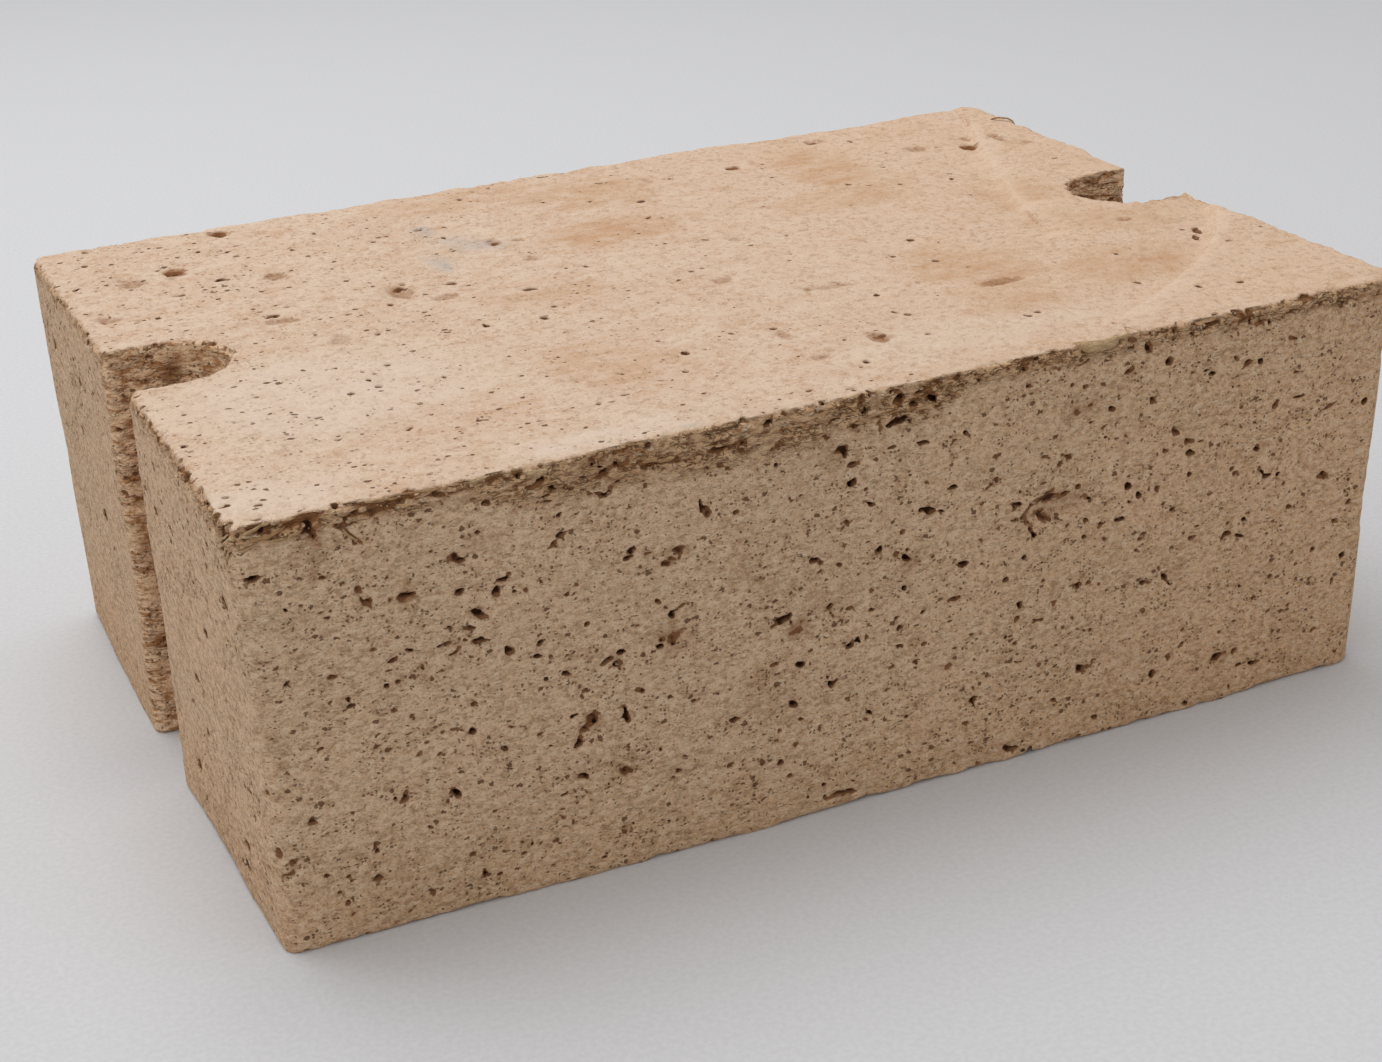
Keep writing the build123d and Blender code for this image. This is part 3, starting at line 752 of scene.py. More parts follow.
# Relief of the whole skin, of the torn band and of the key slots: height, size of the lumps, seed
WAVES = [(0.5, 46.0, 31), (0.25, 17.0, 32)]
TORN_LUMPS = [(0.5, (7.0, 7.0, 1.5), 39), (0.5, (2.0, 2.0, 1.1), 40)]
SLOT_LUMPS = [(0.45, (6.0, 6.0, 1.7), 37), (0.4, (1.9, 1.9, 1.2), 38)]


def broad_relief(points, top):
    """Waves and folds that the skin follows, its hollows too. top is the top's share at each point."""
    waves = sum(height * soft_noise(points, size, seed) for height, size, seed in WAVES)
    return waves + top * folds(points)[0]


def fine_relief(points, top):
    """Lumps and torn layers of the skin between its hollows."""
    slot = in_slot(points) * (1.0 - top)
    side = (1.0 - top) * (1.0 - slot)
    total = np.zeros(len(points))
    for share, lumps in ((side * torn_share(points), TORN_LUMPS), (slot, SLOT_LUMPS)):
        for height, size, seed in lumps:
            total += share * height * soft_noise(points, size, seed)
    return total


END_BAND = 3.2  # height of the crumbled band at the top of the left end


def torn_share(points):
    """1 in the torn band beneath the front's top edge and along the left end's, fading out below it."""
    a = points[:, 0] - LOW[0]
    band = LIP_BAND + (TORN_BAND - LIP_BAND) * smooth_step(TORN_FROM - 8.0, TORN_FROM + 8.0, a) * (
        1.0 - smooth_step(TORN_TO - 8.0, TORN_TO + 8.0, a)
    )
    below = top_height(points[:, 0], points[:, 1]) - points[:, 2]
    near_front = 1.0 - smooth_step(4.0, 7.0, points[:, 1] - LOW[1])
    near_left = 0.8 * (1.0 - smooth_step(3.0, 5.0, a))
    share = near_front * (1.0 - smooth_step(0.6 * band, 1.2 * band, below))
    return np.maximum(share, near_left * (1.0 - smooth_step(0.4 * END_BAND, 1.3 * END_BAND, below)))


def relief(clay, points, quads):
    """The points moved out by the relief."""
    normals = vertex_normals(points, quads)
    top = on_top(points, normals)
    skin = 1.0 - 0.7 * smooth_step(0.4, 1.2, clay.depth(points))
    fine = normals * (skin * fine_relief(points, top))[:, None]
    return points + fine + outward(points) * broad_relief(points, top)[:, None]


# Folds that the strike left at the right end: from, through and to, each along from the left end and up
# from the front, and how far the skin drops on the fold's left
FOLDS = [
    ((285.0, 176.0), (263.0, 128.0), (252.0, 96.0), 1.3),
    ((301.0, 78.0), (280.0, 38.0), (222.0, 11.0), 1.6),
]
FOLD_EDGE = 2.2
FOLD_REACH = 16.0
FOLD_STEPS = 40


def folds(points):
    """(drop of the skin beside each fold, nearness to its crest) on the top."""
    a, b = points[:, 0] - LOW[0], points[:, 1] - LOW[1]
    height, crest = np.zeros(len(points)), np.zeros(len(points))
    for start, through, end, drop in FOLDS:
        start, through, end = (np.array(place) for place in (start, through, end))
        nearest, beside = np.full(len(points), 1e3), np.zeros(len(points))
        for share in np.linspace(0.0, 1.0, FOLD_STEPS):
            middle = (1 - share) ** 2 * start + 2 * share * (1 - share) * through + share**2 * end
            run = unit((1 - share) * (through - start) + share * (end - through))
            away = np.hypot(a - middle[0], b - middle[1])
            closer = away < nearest
            side = run[0] * (b - middle[1]) - run[1] * (a - middle[0])
            beside = np.where(closer, np.sign(side) * away, beside)
            nearest = np.where(closer, away, nearest)
        inner = np.maximum(-beside, 0.0)
        height -= drop * smooth_step(0.0, FOLD_EDGE, inner) * np.exp(-((inner / FOLD_REACH) ** 2))
        crest = np.maximum(crest, np.exp(-(((beside - 0.5) / FOLD_EDGE) ** 2)))
    return height, crest


def mesh_from(name, points, faces):
    """A Blender mesh from points in mm and rows of corner numbers."""
    mesh = bpy.data.meshes.new(name)
    mesh.vertices.add(len(points))
    mesh.vertices.foreach_set("co", (np.asarray(points) * MM).astype(np.float32).ravel())
    corners = np.asarray(faces, np.int32)
    mesh.loops.add(corners.size)
    mesh.loops.foreach_set("vertex_index", corners.ravel())
    mesh.polygons.add(len(corners))
    mesh.polygons.foreach_set("loop_start", np.arange(0, corners.size, corners.shape[1], dtype=np.int32))
    mesh.update(calc_edges=True)
    return mesh


def add_object(name, data):
    """A new object in the scene."""
    piece = bpy.data.objects.new(name, data)
    bpy.context.scene.collection.objects.link(piece)
    return piece


def thinned(mesh, triangles):
    """The mesh with its flat stretches thinned to that many triangles."""
    dense = add_object("dense_skin", mesh)
    modifier = dense.modifiers.new("thin", "DECIMATE")
    modifier.ratio = triangles / (2 * len(mesh.polygons))
    modifier.use_collapse_triangulate = True
    result = bpy.data.meshes.new_from_object(dense.evaluated_get(bpy.context.evaluated_depsgraph_get()))
    bpy.data.objects.remove(dense)
    bpy.data.meshes.remove(mesh)
    return result


def points_of(mesh):
    """A mesh's points in mm."""
    points = np.empty(len(mesh.vertices) * 3, np.float32)
    mesh.vertices.foreach_get("co", points)
    return points.reshape(-1, 3).astype(np.float64) / MM


def write_mask(mesh, name, values, domain="POINT"):
    """Keeps one number for each point or corner of the mesh, for its material."""
    mask = mesh.attributes.new(name, "FLOAT", domain)
    mask.data.foreach_set("value", np.asarray(values, np.float32).ravel())


def triangles_of(mesh):
    """A mesh's triangles, as rows of point numbers."""
    corners = np.empty(len(mesh.loops), np.int32)
    mesh.loops.foreach_get("vertex_index", corners)
    return corners.reshape(-1, 3)


WIDE_TRIANGLE = (1.2, 2.4)  # longest sides between which a triangle's middle comes to count for its colour


def corner_depths(clay, mesh, points):
    """Depth of the hollow at each triangle's corners. A wide one lies mostly outside the hollow."""
    triangles = triangles_of(mesh)
    places = points[triangles]
    longest = np.linalg.norm(places - np.roll(places, 1, axis=1), axis=2).max(axis=1)
    corners = clay.depth(points)[triangles]
    least = np.minimum(corners, clay.depth(places.mean(axis=1))[:, None])
    return corners + smooth_step(*WIDE_TRIANGLE, longest)[:, None] * (least - corners)


# Broad warm clouds on the top, in the columns of TOP_STAINS
TOP_CLOUDS = [
    (145.0, 137.0, 20.0, 14.0, 0.55), (152.0, 172.0, 24.0, 16.0, 0.4), (222.0, 160.0, 12.0, 24.0, 0.5),
    (215.0, 132.0, 22.0, 12.0, 0.35), (212.0, 60.0, 14.0, 22.0, 0.45), (258.0, 108.0, 13.0, 16.0, 0.45),
    (250.0, 44.0, 22.0, 12.0, 0.5), (210.0, 36.0, 14.0, 10.0, 0.4), (105.0, 45.0, 16.0, 20.0, 0.3),
    (112.0, 100.0, 20.0, 16.0, 0.22), (62.0, 32.0, 26.0, 12.0, 0.18), (122.0, 186.0, 30.0, 10.0, 0.3),
    (270.0, 78.0, 18.0, 12.0, 0.3),
]

# Blue-grey smudges on the top, in the columns of TOP_STAINS
TOP_SMUDGES = [
    (96.5, 138.0, 2.2, 4.6, 0.9), (98.0, 158.0, 1.6, 5.0, 0.5), (104.0, 150.0, 5.0, 7.0, 0.3),
    (110.0, 144.0, 7.0, 5.0, 0.35), (100.5, 167.0, 2.6, 2.6, 0.5), (103.6, 5.5, 2.4, 3.4, 1.0),
]

# Whitish film on the top, in the columns of TOP_STAINS
TOP_FILM = [
    (84.0, 6.0, 26.0, 5.0, 0.4),
    (14.0, 12.0, 16.0, 9.0, 0.35),
    (40.0, 62.0, 34.0, 26.0, 0.35),
    (190.0, 20.0, 40.0, 10.0, 0.2),
]

# Brown patches on the front, and one painted shadow: along from the left end, up from the base, half
# length, half height, strength
FRONT_STAINS_AND_SHADOW = [
    (16.5, 102.0, 2.6, 5.0, 0.9), (95.0, 58.0, 3.6, 4.6, 0.5), (126.8, 51.0, 3.2, 3.0, 0.6),
    (75.0, 41.0, 3.0, 3.0, 0.6), (82.5, 25.8, 3.4, 1.6, 0.5), (35.0, 82.0, 2.8, 1.8, 0.5),
    (156.5, 61.6, 3.4, 2.0, 0.6), (136.0, 93.0, 3.0, 4.0, 0.5), (86.0, 102.5, 9.0, 5.0, 0.25),
    # the spot at 199 along is a painted shadow in the torn hollow beneath its lip
    (199.0, 66.6, 8.0, 3.6, 0.3), (115.5, 71.0, 2.4, 5.0, 0.35), (137.0, 56.0, 6.0, 3.0, 0.3),
    (232.5, 41.5, 2.4, 2.4, 0.45), (249.0, 12.6, 3.0, 2.4, 0.6), (6.0, 54.0, 3.0, 5.0, 0.35),
    (120.0, 36.0, 8.0, 9.0, 0.25), (255.0, 65.5, 3.0, 2.0, 0.3), (204.0, 90.5, 8.0, 2.4, 0.45),
    (122.0, 63.5, 2.6, 2.6, 0.5), (51.0, 91.0, 3.0, 3.0, 0.4),
]


def spots(a, b, rows, ragged, inner=0.55, outer=1.25):
    """Largest strength of oval spots on a face. Their ragged rims fade from inner to outer, in radii."""
    value = np.zeros(len(a))
    for along, up, half_length, half_width, strength in rows:
        radius = np.hypot((a - along) / half_length, (b - up) / half_width) + ragged
        value = np.maximum(value, strength * (1.0 - smooth_step(inner, outer, radius)))
    return value


def write_masks(clay, mesh):
    """Everything that the material reads from the skin: depth (for brown and painted shade in hollows),
    place, fold crests (for a painted highlight), stains and one painted shadow, smudges and film.
    """
    points = points_of(mesh)
    normals = np.empty(len(points) * 3, np.float32)
    mesh.vertex_normals.foreach_get("vector", normals)
    top = on_top(points, normals.reshape(-1, 3))
    out = outward(points)
    a, b = points[:, 0] - LOW[0], points[:, 1] - LOW[1]
    up = points[:, 2] * HEIGHT / top_height(points[:, 0], LOW[1])
    ragged = 0.3 * soft_noise(points, 1.8, 41)
    cloud_wander = 0.3 * soft_noise(points, 14.0, 42)
    front = (out[:, 1] < -0.6) * (1.0 - top)
    flat = points - out * broad_relief(points, top)[:, None]
    write_mask(mesh, "depth", corner_depths(clay, mesh, flat), "CORNER")
    write_mask(mesh, "top", top)
    write_mask(mesh, "slot", in_slot(points) * (1.0 - top))
    write_mask(mesh, "torn", torn_share(points) * (1.0 - top))
    # fold crests, which the material paints pale as a painted highlight
    write_mask(mesh, "crest", top * folds(points)[1])
    stain_and_shadow = top * spots(a, b, TOP_STAINS, ragged, 0.85, 1.05) + front * spots(a, up, FRONT_STAINS_AND_SHADOW, ragged)
    write_mask(mesh, "stain_and_shadow", stain_and_shadow)
    write_mask(mesh, "cloud", top * spots(a, b, TOP_CLOUDS, cloud_wander))
    write_mask(mesh, "smudge", top * spots(a, b, TOP_SMUDGES, ragged))
    write_mask(mesh, "film", top * spots(a, b, TOP_FILM, cloud_wander))


# The skin laid flat in a square: its side, and where each face and key slot starts, in mm
LAYOUT_SIDE = 640.0
LAYOUT = {
    "top": (8.0, 8.0),
    "base": (324.0, 8.0),
    "front": (8.0, 220.0),
    "back": (324.0, 220.0),
    "left": (8.0, 346.0),
    "right": (220.0, 346.0),
}
SLOT_LAYOUT = np.array([(432.0, 346.0), (530.0, 346.0)])  # left, right


def lay_flat(mesh, points):
    """Maps the skin flat for baking, each triangle on the face or slot wall that it lies nearest to."""
    places = points[triangles_of(mesh)]
    middles = places.mean(axis=1)
    nearest = np.argmax([*(face.over(middles) for face in FACES.values()), slot_over(middles)], axis=0)
    flat = np.zeros(places.shape[:2] + (2,))
    for number, (name, face) in enumerate(FACES.items()):
        offset = places[nearest == number] - face.corner
        flat[nearest == number] = np.stack([offset @ face.along, offset @ face.up], axis=-1) + LAYOUT[name]
    slots = places[nearest == len(FACES)]
    starts = SLOT_LAYOUT[(slots[:, 0, 0] > 0).astype(int)]
    flat[nearest == len(FACES)] = np.stack([slot_run(slots), slots[..., 2]], axis=-1) + starts[:, None]
    layer = mesh.uv_layers.new(name="OFBake")
    layer.data.foreach_set("uv", (flat / LAYOUT_SIDE).astype(np.float32).ravel())


RIM_ANGLE = 36.0  # edges sharper than this keep a crisp rim


def brick_piece():
    """The brick's whole skin."""
    clay = Clay()
    scatter_pores(clay)
    landmark_holes(clay)
    cracks(clay)
    gouge(clay)
    wear_edges(clay)
    torn_edge(clay)
    broken_places(clay)
    slot_walls(clay)
    points, quads = largest_part(*clay.skin())
    points = relief(clay, points, quads)
    points[:, 2] = np.maximum(points[:, 2], 0.0)
    mesh = thinned(mesh_from("adobe_skin", points, quads), MOST_TRIANGLES)
    write_masks(clay, mesh)
    lay_flat(mesh, points_of(mesh))
    mesh.vertices.foreach_set("co", (crown(points_of(mesh)) * MM).astype(np.float32).ravel())
    mesh.polygons.foreach_set("use_smooth", np.ones(len(mesh.polygons), bool))
    mesh.set_sharp_from_angle(angle=math.radians(RIM_ANGLE))
    mesh.update()
    return add_object("adobe_brick_skin", mesh), clay


def on_worn_skin(points):
    """Points given on the unworn skin, moved as the worn skin is."""
    points = np.asarray(points, float)
    out = outward(points)
    return crown(points + out * broad_relief(points, on_top(points, out))[:, None])


class Heap:
    """Many small closed shapes gathered into one mesh."""

    def __init__(self):
        self.points, self.faces, self.tones = [], [], []

    def add(self, points, faces, tone):
        first = len(self.points)
        self.points.extend(map(tuple, points))
        self.faces.extend([tuple(first + corner for corner in face) for face in faces])
        self.tones.extend([tone] * len(points))

    def piece(self, name, material):
        mesh = bpy.data.meshes.new(name)
        mesh.from_pydata([tuple(value * MM for value in point) for point in self.points], [], self.faces)
        mesh.polygons.foreach_set("use_smooth", np.ones(len(mesh.polygons), bool))
        write_mask(mesh, "tone", self.tones)
        mesh.materials.append(material)
        piece = add_object(name, mesh)
        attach(piece, BODY)
        return piece


RING = 6  # sides of a straw


def straw(heap, path, out, width, thick, tone):
    """Adds one flattened stalk along a path, tapered at both ends."""
    path = np.asarray(path, float)
    runs = np.gradient(path, axis=0)
    taper = np.interp(np.linspace(0.0, 1.0, len(path)), (0.0, 0.12, 0.85, 1.0), (0.45, 1.0, 0.9, 0.25))
    turns = np.linspace(0.0, 2 * math.pi, RING, endpoint=False)
    points = []
    for middle, run, share in zip(path, runs, taper):
        side = unit(np.cross(run, out))
        lift = unit(np.cross(side, run))
        for turn in turns:
            reach = 0.5 * width * math.cos(turn) * side + 0.5 * thick * math.sin(turn) * lift
            points.append(middle + share * reach)
    last = (len(path) - 1) * RING
    faces = [tuple(reversed(range(RING))), tuple(range(last, last + RING))]
    for ring in range(0, last, RING):
        for step in range(RING):
            after = (step + 1) % RING
            faces.append((ring + step, ring + after, ring + RING + after, ring + RING + step))
    heap.add(points, faces, tone)


STRAW_STEPS = 7


def lay_straw(heap, clay, face, a, b, tilt, length, width, rng, proud=0.35, bend=0.05):
    """Adds a stalk half sunk in a face, its middle a along and b up, its ends dipping into the skin.

    There is none where the skin under its middle has gone, as at a key slot's mouth.
    """
    if clay.on_carved(face.point(a, b), face.out) is None:
        return
    turn = math.radians(tilt)
    along = math.cos(turn) * face.along + math.sin(turn) * face.up
    across = np.cross(face.out, along)
    bow, dip = rng.normal(0.0, bend), rng.uniform(0.5, 1.0)
    path = []
    for share in np.linspace(-0.5, 0.5, STRAW_STEPS):
        place = face.point(a, b) + length * (share * along + bow * (1.0 - 4.0 * share**2) * across)
        carved = clay.on_carved(place, face.out)
        path.append(place if carved is None else carved)
    shares = np.linspace(-1.0, 1.0, STRAW_STEPS)
    lifts = (proud - dip * shares**4) * width
    path = on_worn_skin(path) + lifts[:, None] * face.out
    straw(heap, path, face.out, width, 0.6 * width, rng.random())


# Stalks that show: face, along, up, tilt in degrees, length, width, how proud
STALKS = [
    ("front", 208.0, 105.8, 1.0, 12.0, 3.0, 0.5),
    ("front", 216.0, 105.4, -2.0, 12.0, 0.9, 0.6),
    ("front", 210.5, 104.0, 3.0, 8.0, 0.6, 0.4),
    ("front", 8.0, 103.6, 9.0, 9.0, 0.9, 0.4),
    ("front", 6.0, 104.8, 14.0, 7.0, 0.8, 0.4),
    ("front", 25.0, 99.6, -48.0, 6.5, 0.7, 0.2),
    ("front", 40.0, 105.0, 1.0, 16.0, 0.5, 0.3),
    ("front", 54.0, 104.4, 3.0, 12.0, 0.5, 0.3),
    ("front", 66.0, 104.6, -6.0, 6.0, 1.3, 0.4),
    ("front", 5.0, 101.8, 18.0, 7.0, 0.6, 0.4),
    ("front", 11.5, 102.4, 8.0, 8.0, 0.7, 0.4),
    ("front", 3.0, 103.8, -6.0, 5.0, 0.7, 0.5),
    ("left", 196.0, 101.0, 50.0, 7.0, 0.8, 0.4),
    ("left", 191.0, 103.4, -16.0, 6.0, 0.6, 0.5),
    ("left", 197.5, 98.4, 66.0, 6.0, 0.6, 0.5),
    ("left", 193.5, 101.6, 34.0, 5.0, 0.7, 0.5),
    ("left", 180.0, 103.6, 8.0, 6.0, 0.5, 0.5),
    ("left", 170.0, 104.2, -10.0, 5.0, 0.5, 0.5),
    ("left", 184.0, 104.4, 12.0, 7.0, 0.6, 0.4),
    ("top", 297.0, 176.0, -55.0, 9.0, 0.9, 1.0),
]

# Scattered stalks: face, lowest, highest, number, longest
CHAFF = [
    ("front", 95.0, 105.0, 22, 6.0),
    ("front", 2.0, 95.0, 12, 5.0),
    ("back", 96.0, 105.0, 22, 6.0),
    ("back", 2.0, 95.0, 14, 5.0),
    ("left", 98.0, 105.0, 10, 5.0),
    ("left", 2.0, 98.0, 6, 5.0),
    ("right", 96.0, 105.0, 14, 6.0),
    ("right", 2.0, 96.0, 8, 5.0),
]


def straw_piece(clay):
    """Straw that shows in the earth: listed stalks, chaff along the edges, and ends in the key slots."""
    heap = Heap()
    rng = np.random.default_rng(51)
    for name, a, b, tilt, length, width, proud in STALKS:
        lay_straw(heap, clay, FACES[name], a, b, tilt, length, width, rng, proud)
    for name, low, high, count, longest in CHAFF:
        face = FACES[name]
        for _ in range(count):
            a, b = rng.uniform(4.0, face.wide - 4.0), rng.uniform(low, high)
            length = rng.uniform(0.35, 1.0) * longest
            tilt, width = rng.normal(0.0, 12.0), rng.uniform(0.3, 0.55)
            lay_straw(heap, clay, face, a, b, tilt, length, width, rng, 0.15)
    for side in (-1, 1):
        for _ in range(SLOT_STRAWS):
            run, height = rng.uniform(6.0, SLOT_RUN - 6.0), rng.uniform(4.0, HEIGHT - 6.0)
            point, along, out = slot_place(side, run, height)
            length, width = rng.uniform(2.0, 5.0), rng.uniform(0.3, 0.6)
            lean = unit(along + 0.25 * rng.normal() * Z + rng.uniform(0.0, 0.5) * out)
            tone = rng.random()
            carved = clay.on_carved(point, out)
            if carved is None:
                continue
            steps = np.linspace(-0.5, 0.5, STRAW_STEPS)[:, None]
            straw(heap, on_worn_skin(carved + length * steps * lean), out, width, 0.6 * width, tone)
    return heap.piece("straw", straw_material())


GOLDEN = (1.0 + math.sqrt(5.0)) / 2.0
LUMP_POINTS = [unit(p) for p in [
    (-1, GOLDEN, 0), (1, GOLDEN, 0), (-1, -GOLDEN, 0), (1, -GOLDEN, 0),
    (0, -1, GOLDEN), (0, 1, GOLDEN), (0, -1, -GOLDEN), (0, 1, -GOLDEN),
    (GOLDEN, 0, -1), (GOLDEN, 0, 1), (-GOLDEN, 0, -1), (-GOLDEN, 0, 1),
]]
LUMP_FACES = [
    (0, 11, 5), (0, 5, 1), (0, 1, 7), (0, 7, 10), (0, 10, 11), (1, 5, 9), (5, 11, 4), (11, 10, 2),
    (10, 7, 6), (7, 1, 8), (3, 9, 4), (3, 4, 2), (3, 2, 6), (3, 6, 8), (3, 8, 9), (4, 9, 5),
    (2, 4, 11), (6, 2, 10), (8, 6, 7), (9, 8, 1),
]


def lump(heap, middle, size, rng):
    """Adds one uneven crumb of earth."""
    stretch = size * rng.uniform(0.6, 1.2, 3)
    points = [middle + stretch * corner * rng.uniform(0.8, 1.2) for corner in LUMP_POINTS]
    heap.add(points, LUMP_FACES, rng.random())


# Crumbs that cling: face, first and last along, lowest, highest, number
CLINGING = [
    ("front", 58.0, 170.0, 96.0, 105.0, 130),
    ("front", 2.0, 58.0, 102.0, 105.0, 40),
    ("front", 170.0, 298.0, 102.0, 105.0, 110),
    ("left", 2.0, 198.0, 101.0, 105.0, 80),
    ("right", 2.0, 198.0, 100.0, 105.0, 70),
    ("back", 2.0, 298.0, 100.0, 105.0, 110),
]
CRUMB_SIZES = (0.25, 0.7)
CRUMB_TORN = 0.6  # share of the torn earth's colour in a crumb


def cling(heap, clay, point, out, rng):
    """Adds one crumb, half sunk in the carved surface."""
    place = clay.on_carved(point, out)
    if place is None:
        return
    size = rng.uniform(*CRUMB_SIZES)
    lump(heap, on_worn_skin([place])[0] - 0.4 * size * out, size, rng)


def crumb_piece(clay, material):
    """Crumbs of earth that cling in the torn edges and the key slots."""
    heap = Heap()
    rng = np.random.default_rng(61)
    for name, first, last, low, high, count in CLINGING:
        face = FACES[name]
        for _ in range(count):
            cling(heap, clay, face.point(rng.uniform(first, last), rng.uniform(low, high)), face.out, rng)
    for side in (-1, 1):
        for _ in range(SLOT_CRUMBS):
            run, height = rng.uniform(5.0, SLOT_RUN - 5.0), rng.uniform(1.0, HEIGHT - 6.0)
            point, _, out = slot_place(side, run, height)
            cling(heap, clay, point, out, rng)
    piece = heap.piece("crumbs", material)
    write_mask(piece.data, "torn", np.full(len(piece.data.vertices), CRUMB_TORN))
    return piece


def linear(red, green, blue):
    """A screen colour, 0 to 255, as the linear colour that Blender takes."""
    shares = [value / 255.0 for value in (red, green, blue)]
    return (*[s / 12.92 if s <= 0.04045 else ((s + 0.055) / 1.055) ** 2.4 for s in shares], 1.0)


# Places of the Mix node's colour sockets, which share their names with its others
MIX_SHARE, MIX_FIRST, MIX_SECOND, MIX_RESULT = 0, 6, 7, 2


class Tree:
    """Short names for the nodes of one material. Inputs may be numbers, colours or other nodes' outputs."""

    def __init__(self, name):
        self.material = bpy.data.materials.new(name)
        self.material.use_nodes = True
        self.nodes = self.material.node_tree.nodes
        self.links = self.material.node_tree.links
        self.nodes.clear()

    def node(self, kind, inputs, **settings):
        node = self.nodes.new(kind)
        for name, value in settings.items():
            setattr(node, name, value)
        for name, value in inputs.items():
            if isinstance(value, bpy.types.NodeSocket):
                self.links.new(value, node.inputs[name])
            else:
                node.inputs[name].default_value = value
        return node

    def mask(self, name):
        return self.node("ShaderNodeAttribute", {}, attribute_name=name).outputs["Fac"]

    def math(self, operation, first, second=0.0):
        return self.node("ShaderNodeMath", {0: first, 1: second}, operation=operation).outputs[0]

    def plus(self, first, second):
        return self.math("ADD", first, second)

    def times(self, first, second):
        return self.math("MULTIPLY", first, second)

    def rest(self, share):
        """What a share leaves of 1."""
        return self.math("SUBTRACT", 1.0, share)

    def vector(self, operation, first, second):
        return self.node("ShaderNodeVectorMath", {0: first, 1: second}, operation=operation).outputs[0]

    def axes(self, vector):
        return self.node("ShaderNodeSeparateXYZ", {"Vector": vector}).outputs

    def millimetres(self):
        place = self.node("ShaderNodeTexCoord", {}).outputs["Object"]
        return self.vector("MULTIPLY", place, (1 / MM,) * 3)

    def stretched(self, place, size):
        """The place divided by a feature size for each axis."""
        return self.vector("DIVIDE", place, size)

    def between(self, value, low, high, start=0.0, end=1.0):
        """start where value is low, end where it is high, and an even curve between."""
        inputs = {"Value": value, "From Min": low, "From Max": high, "To Min": start, "To Max": end}
        node = self.node("ShaderNodeMapRange", inputs, interpolation_type="SMOOTHSTEP")
        return node.outputs["Result"]

    def warped(self, place, size, amount):
        """The place pushed about by up to amount, over lumps of that size."""
        inputs = {"Vector": self.stretched(place, (size,) * 3), "Scale": 1.0, "Detail": 1.0}
        push = self.node("ShaderNodeTexNoise", inputs).outputs["Color"]
        push = self.vector("SUBTRACT", push, (0.5,) * 3)
        return self.vector("ADD", place, self.vector("MULTIPLY", push, (2 * amount,) * 3))

    def noise(self, place, size, detail=3.0, rough=0.55):
        """Random values about 0.5, in lumps of a size for each axis."""
        inputs = {"Vector": self.stretched(place, size), "Scale": 1.0, "Detail": detail, "Roughness": rough}
        return self.node("ShaderNodeTexNoise", inputs).outputs["Fac"]

    def cells(self, place, size, dimensions="3D"):
        """(distance to the nearest cell's middle, two random numbers of that cell)."""
        inputs = {"Vector": self.stretched(place, size), "Scale": 1.0}
        node = self.node("ShaderNodeTexVoronoi", inputs, voronoi_dimensions=dimensions)
        luck = self.node("ShaderNodeSeparateColor", {"Color": node.outputs["Color"]}).outputs
        return node.outputs["Distance"], luck["Red"], luck["Green"]

    def mix(self, share, first, second):
        inputs = {MIX_SHARE: share, MIX_FIRST: first, MIX_SECOND: second}
        return self.node("ShaderNodeMix", inputs, data_type="RGBA").outputs[MIX_RESULT]

    def tinted(self, colour, *tints):
        """The colour with tints over it: value, low, high, the tint's shares there, its screen colour."""
        for value, low, high, start, end, tint in tints:
            colour = self.mix(self.between(value, low, high, start, end), colour, linear(*tint))
        return colour

    def finish(self, colour, roughness, height, distance):
        bump = self.node("ShaderNodeBump", {"Strength": 1.0, "Distance": distance, "Height": height})
        inputs = {"Base Color": colour, "Roughness": roughness, "Normal": bump.outputs["Normal"]}
        shader = self.node("ShaderNodeBsdfPrincipled", {**inputs, "Specular IOR Level": 0.2})
        output = self.node("ShaderNodeOutputMaterial", {})
        self.links.new(shader.outputs["BSDF"], output.inputs["Surface"])
        return self.material


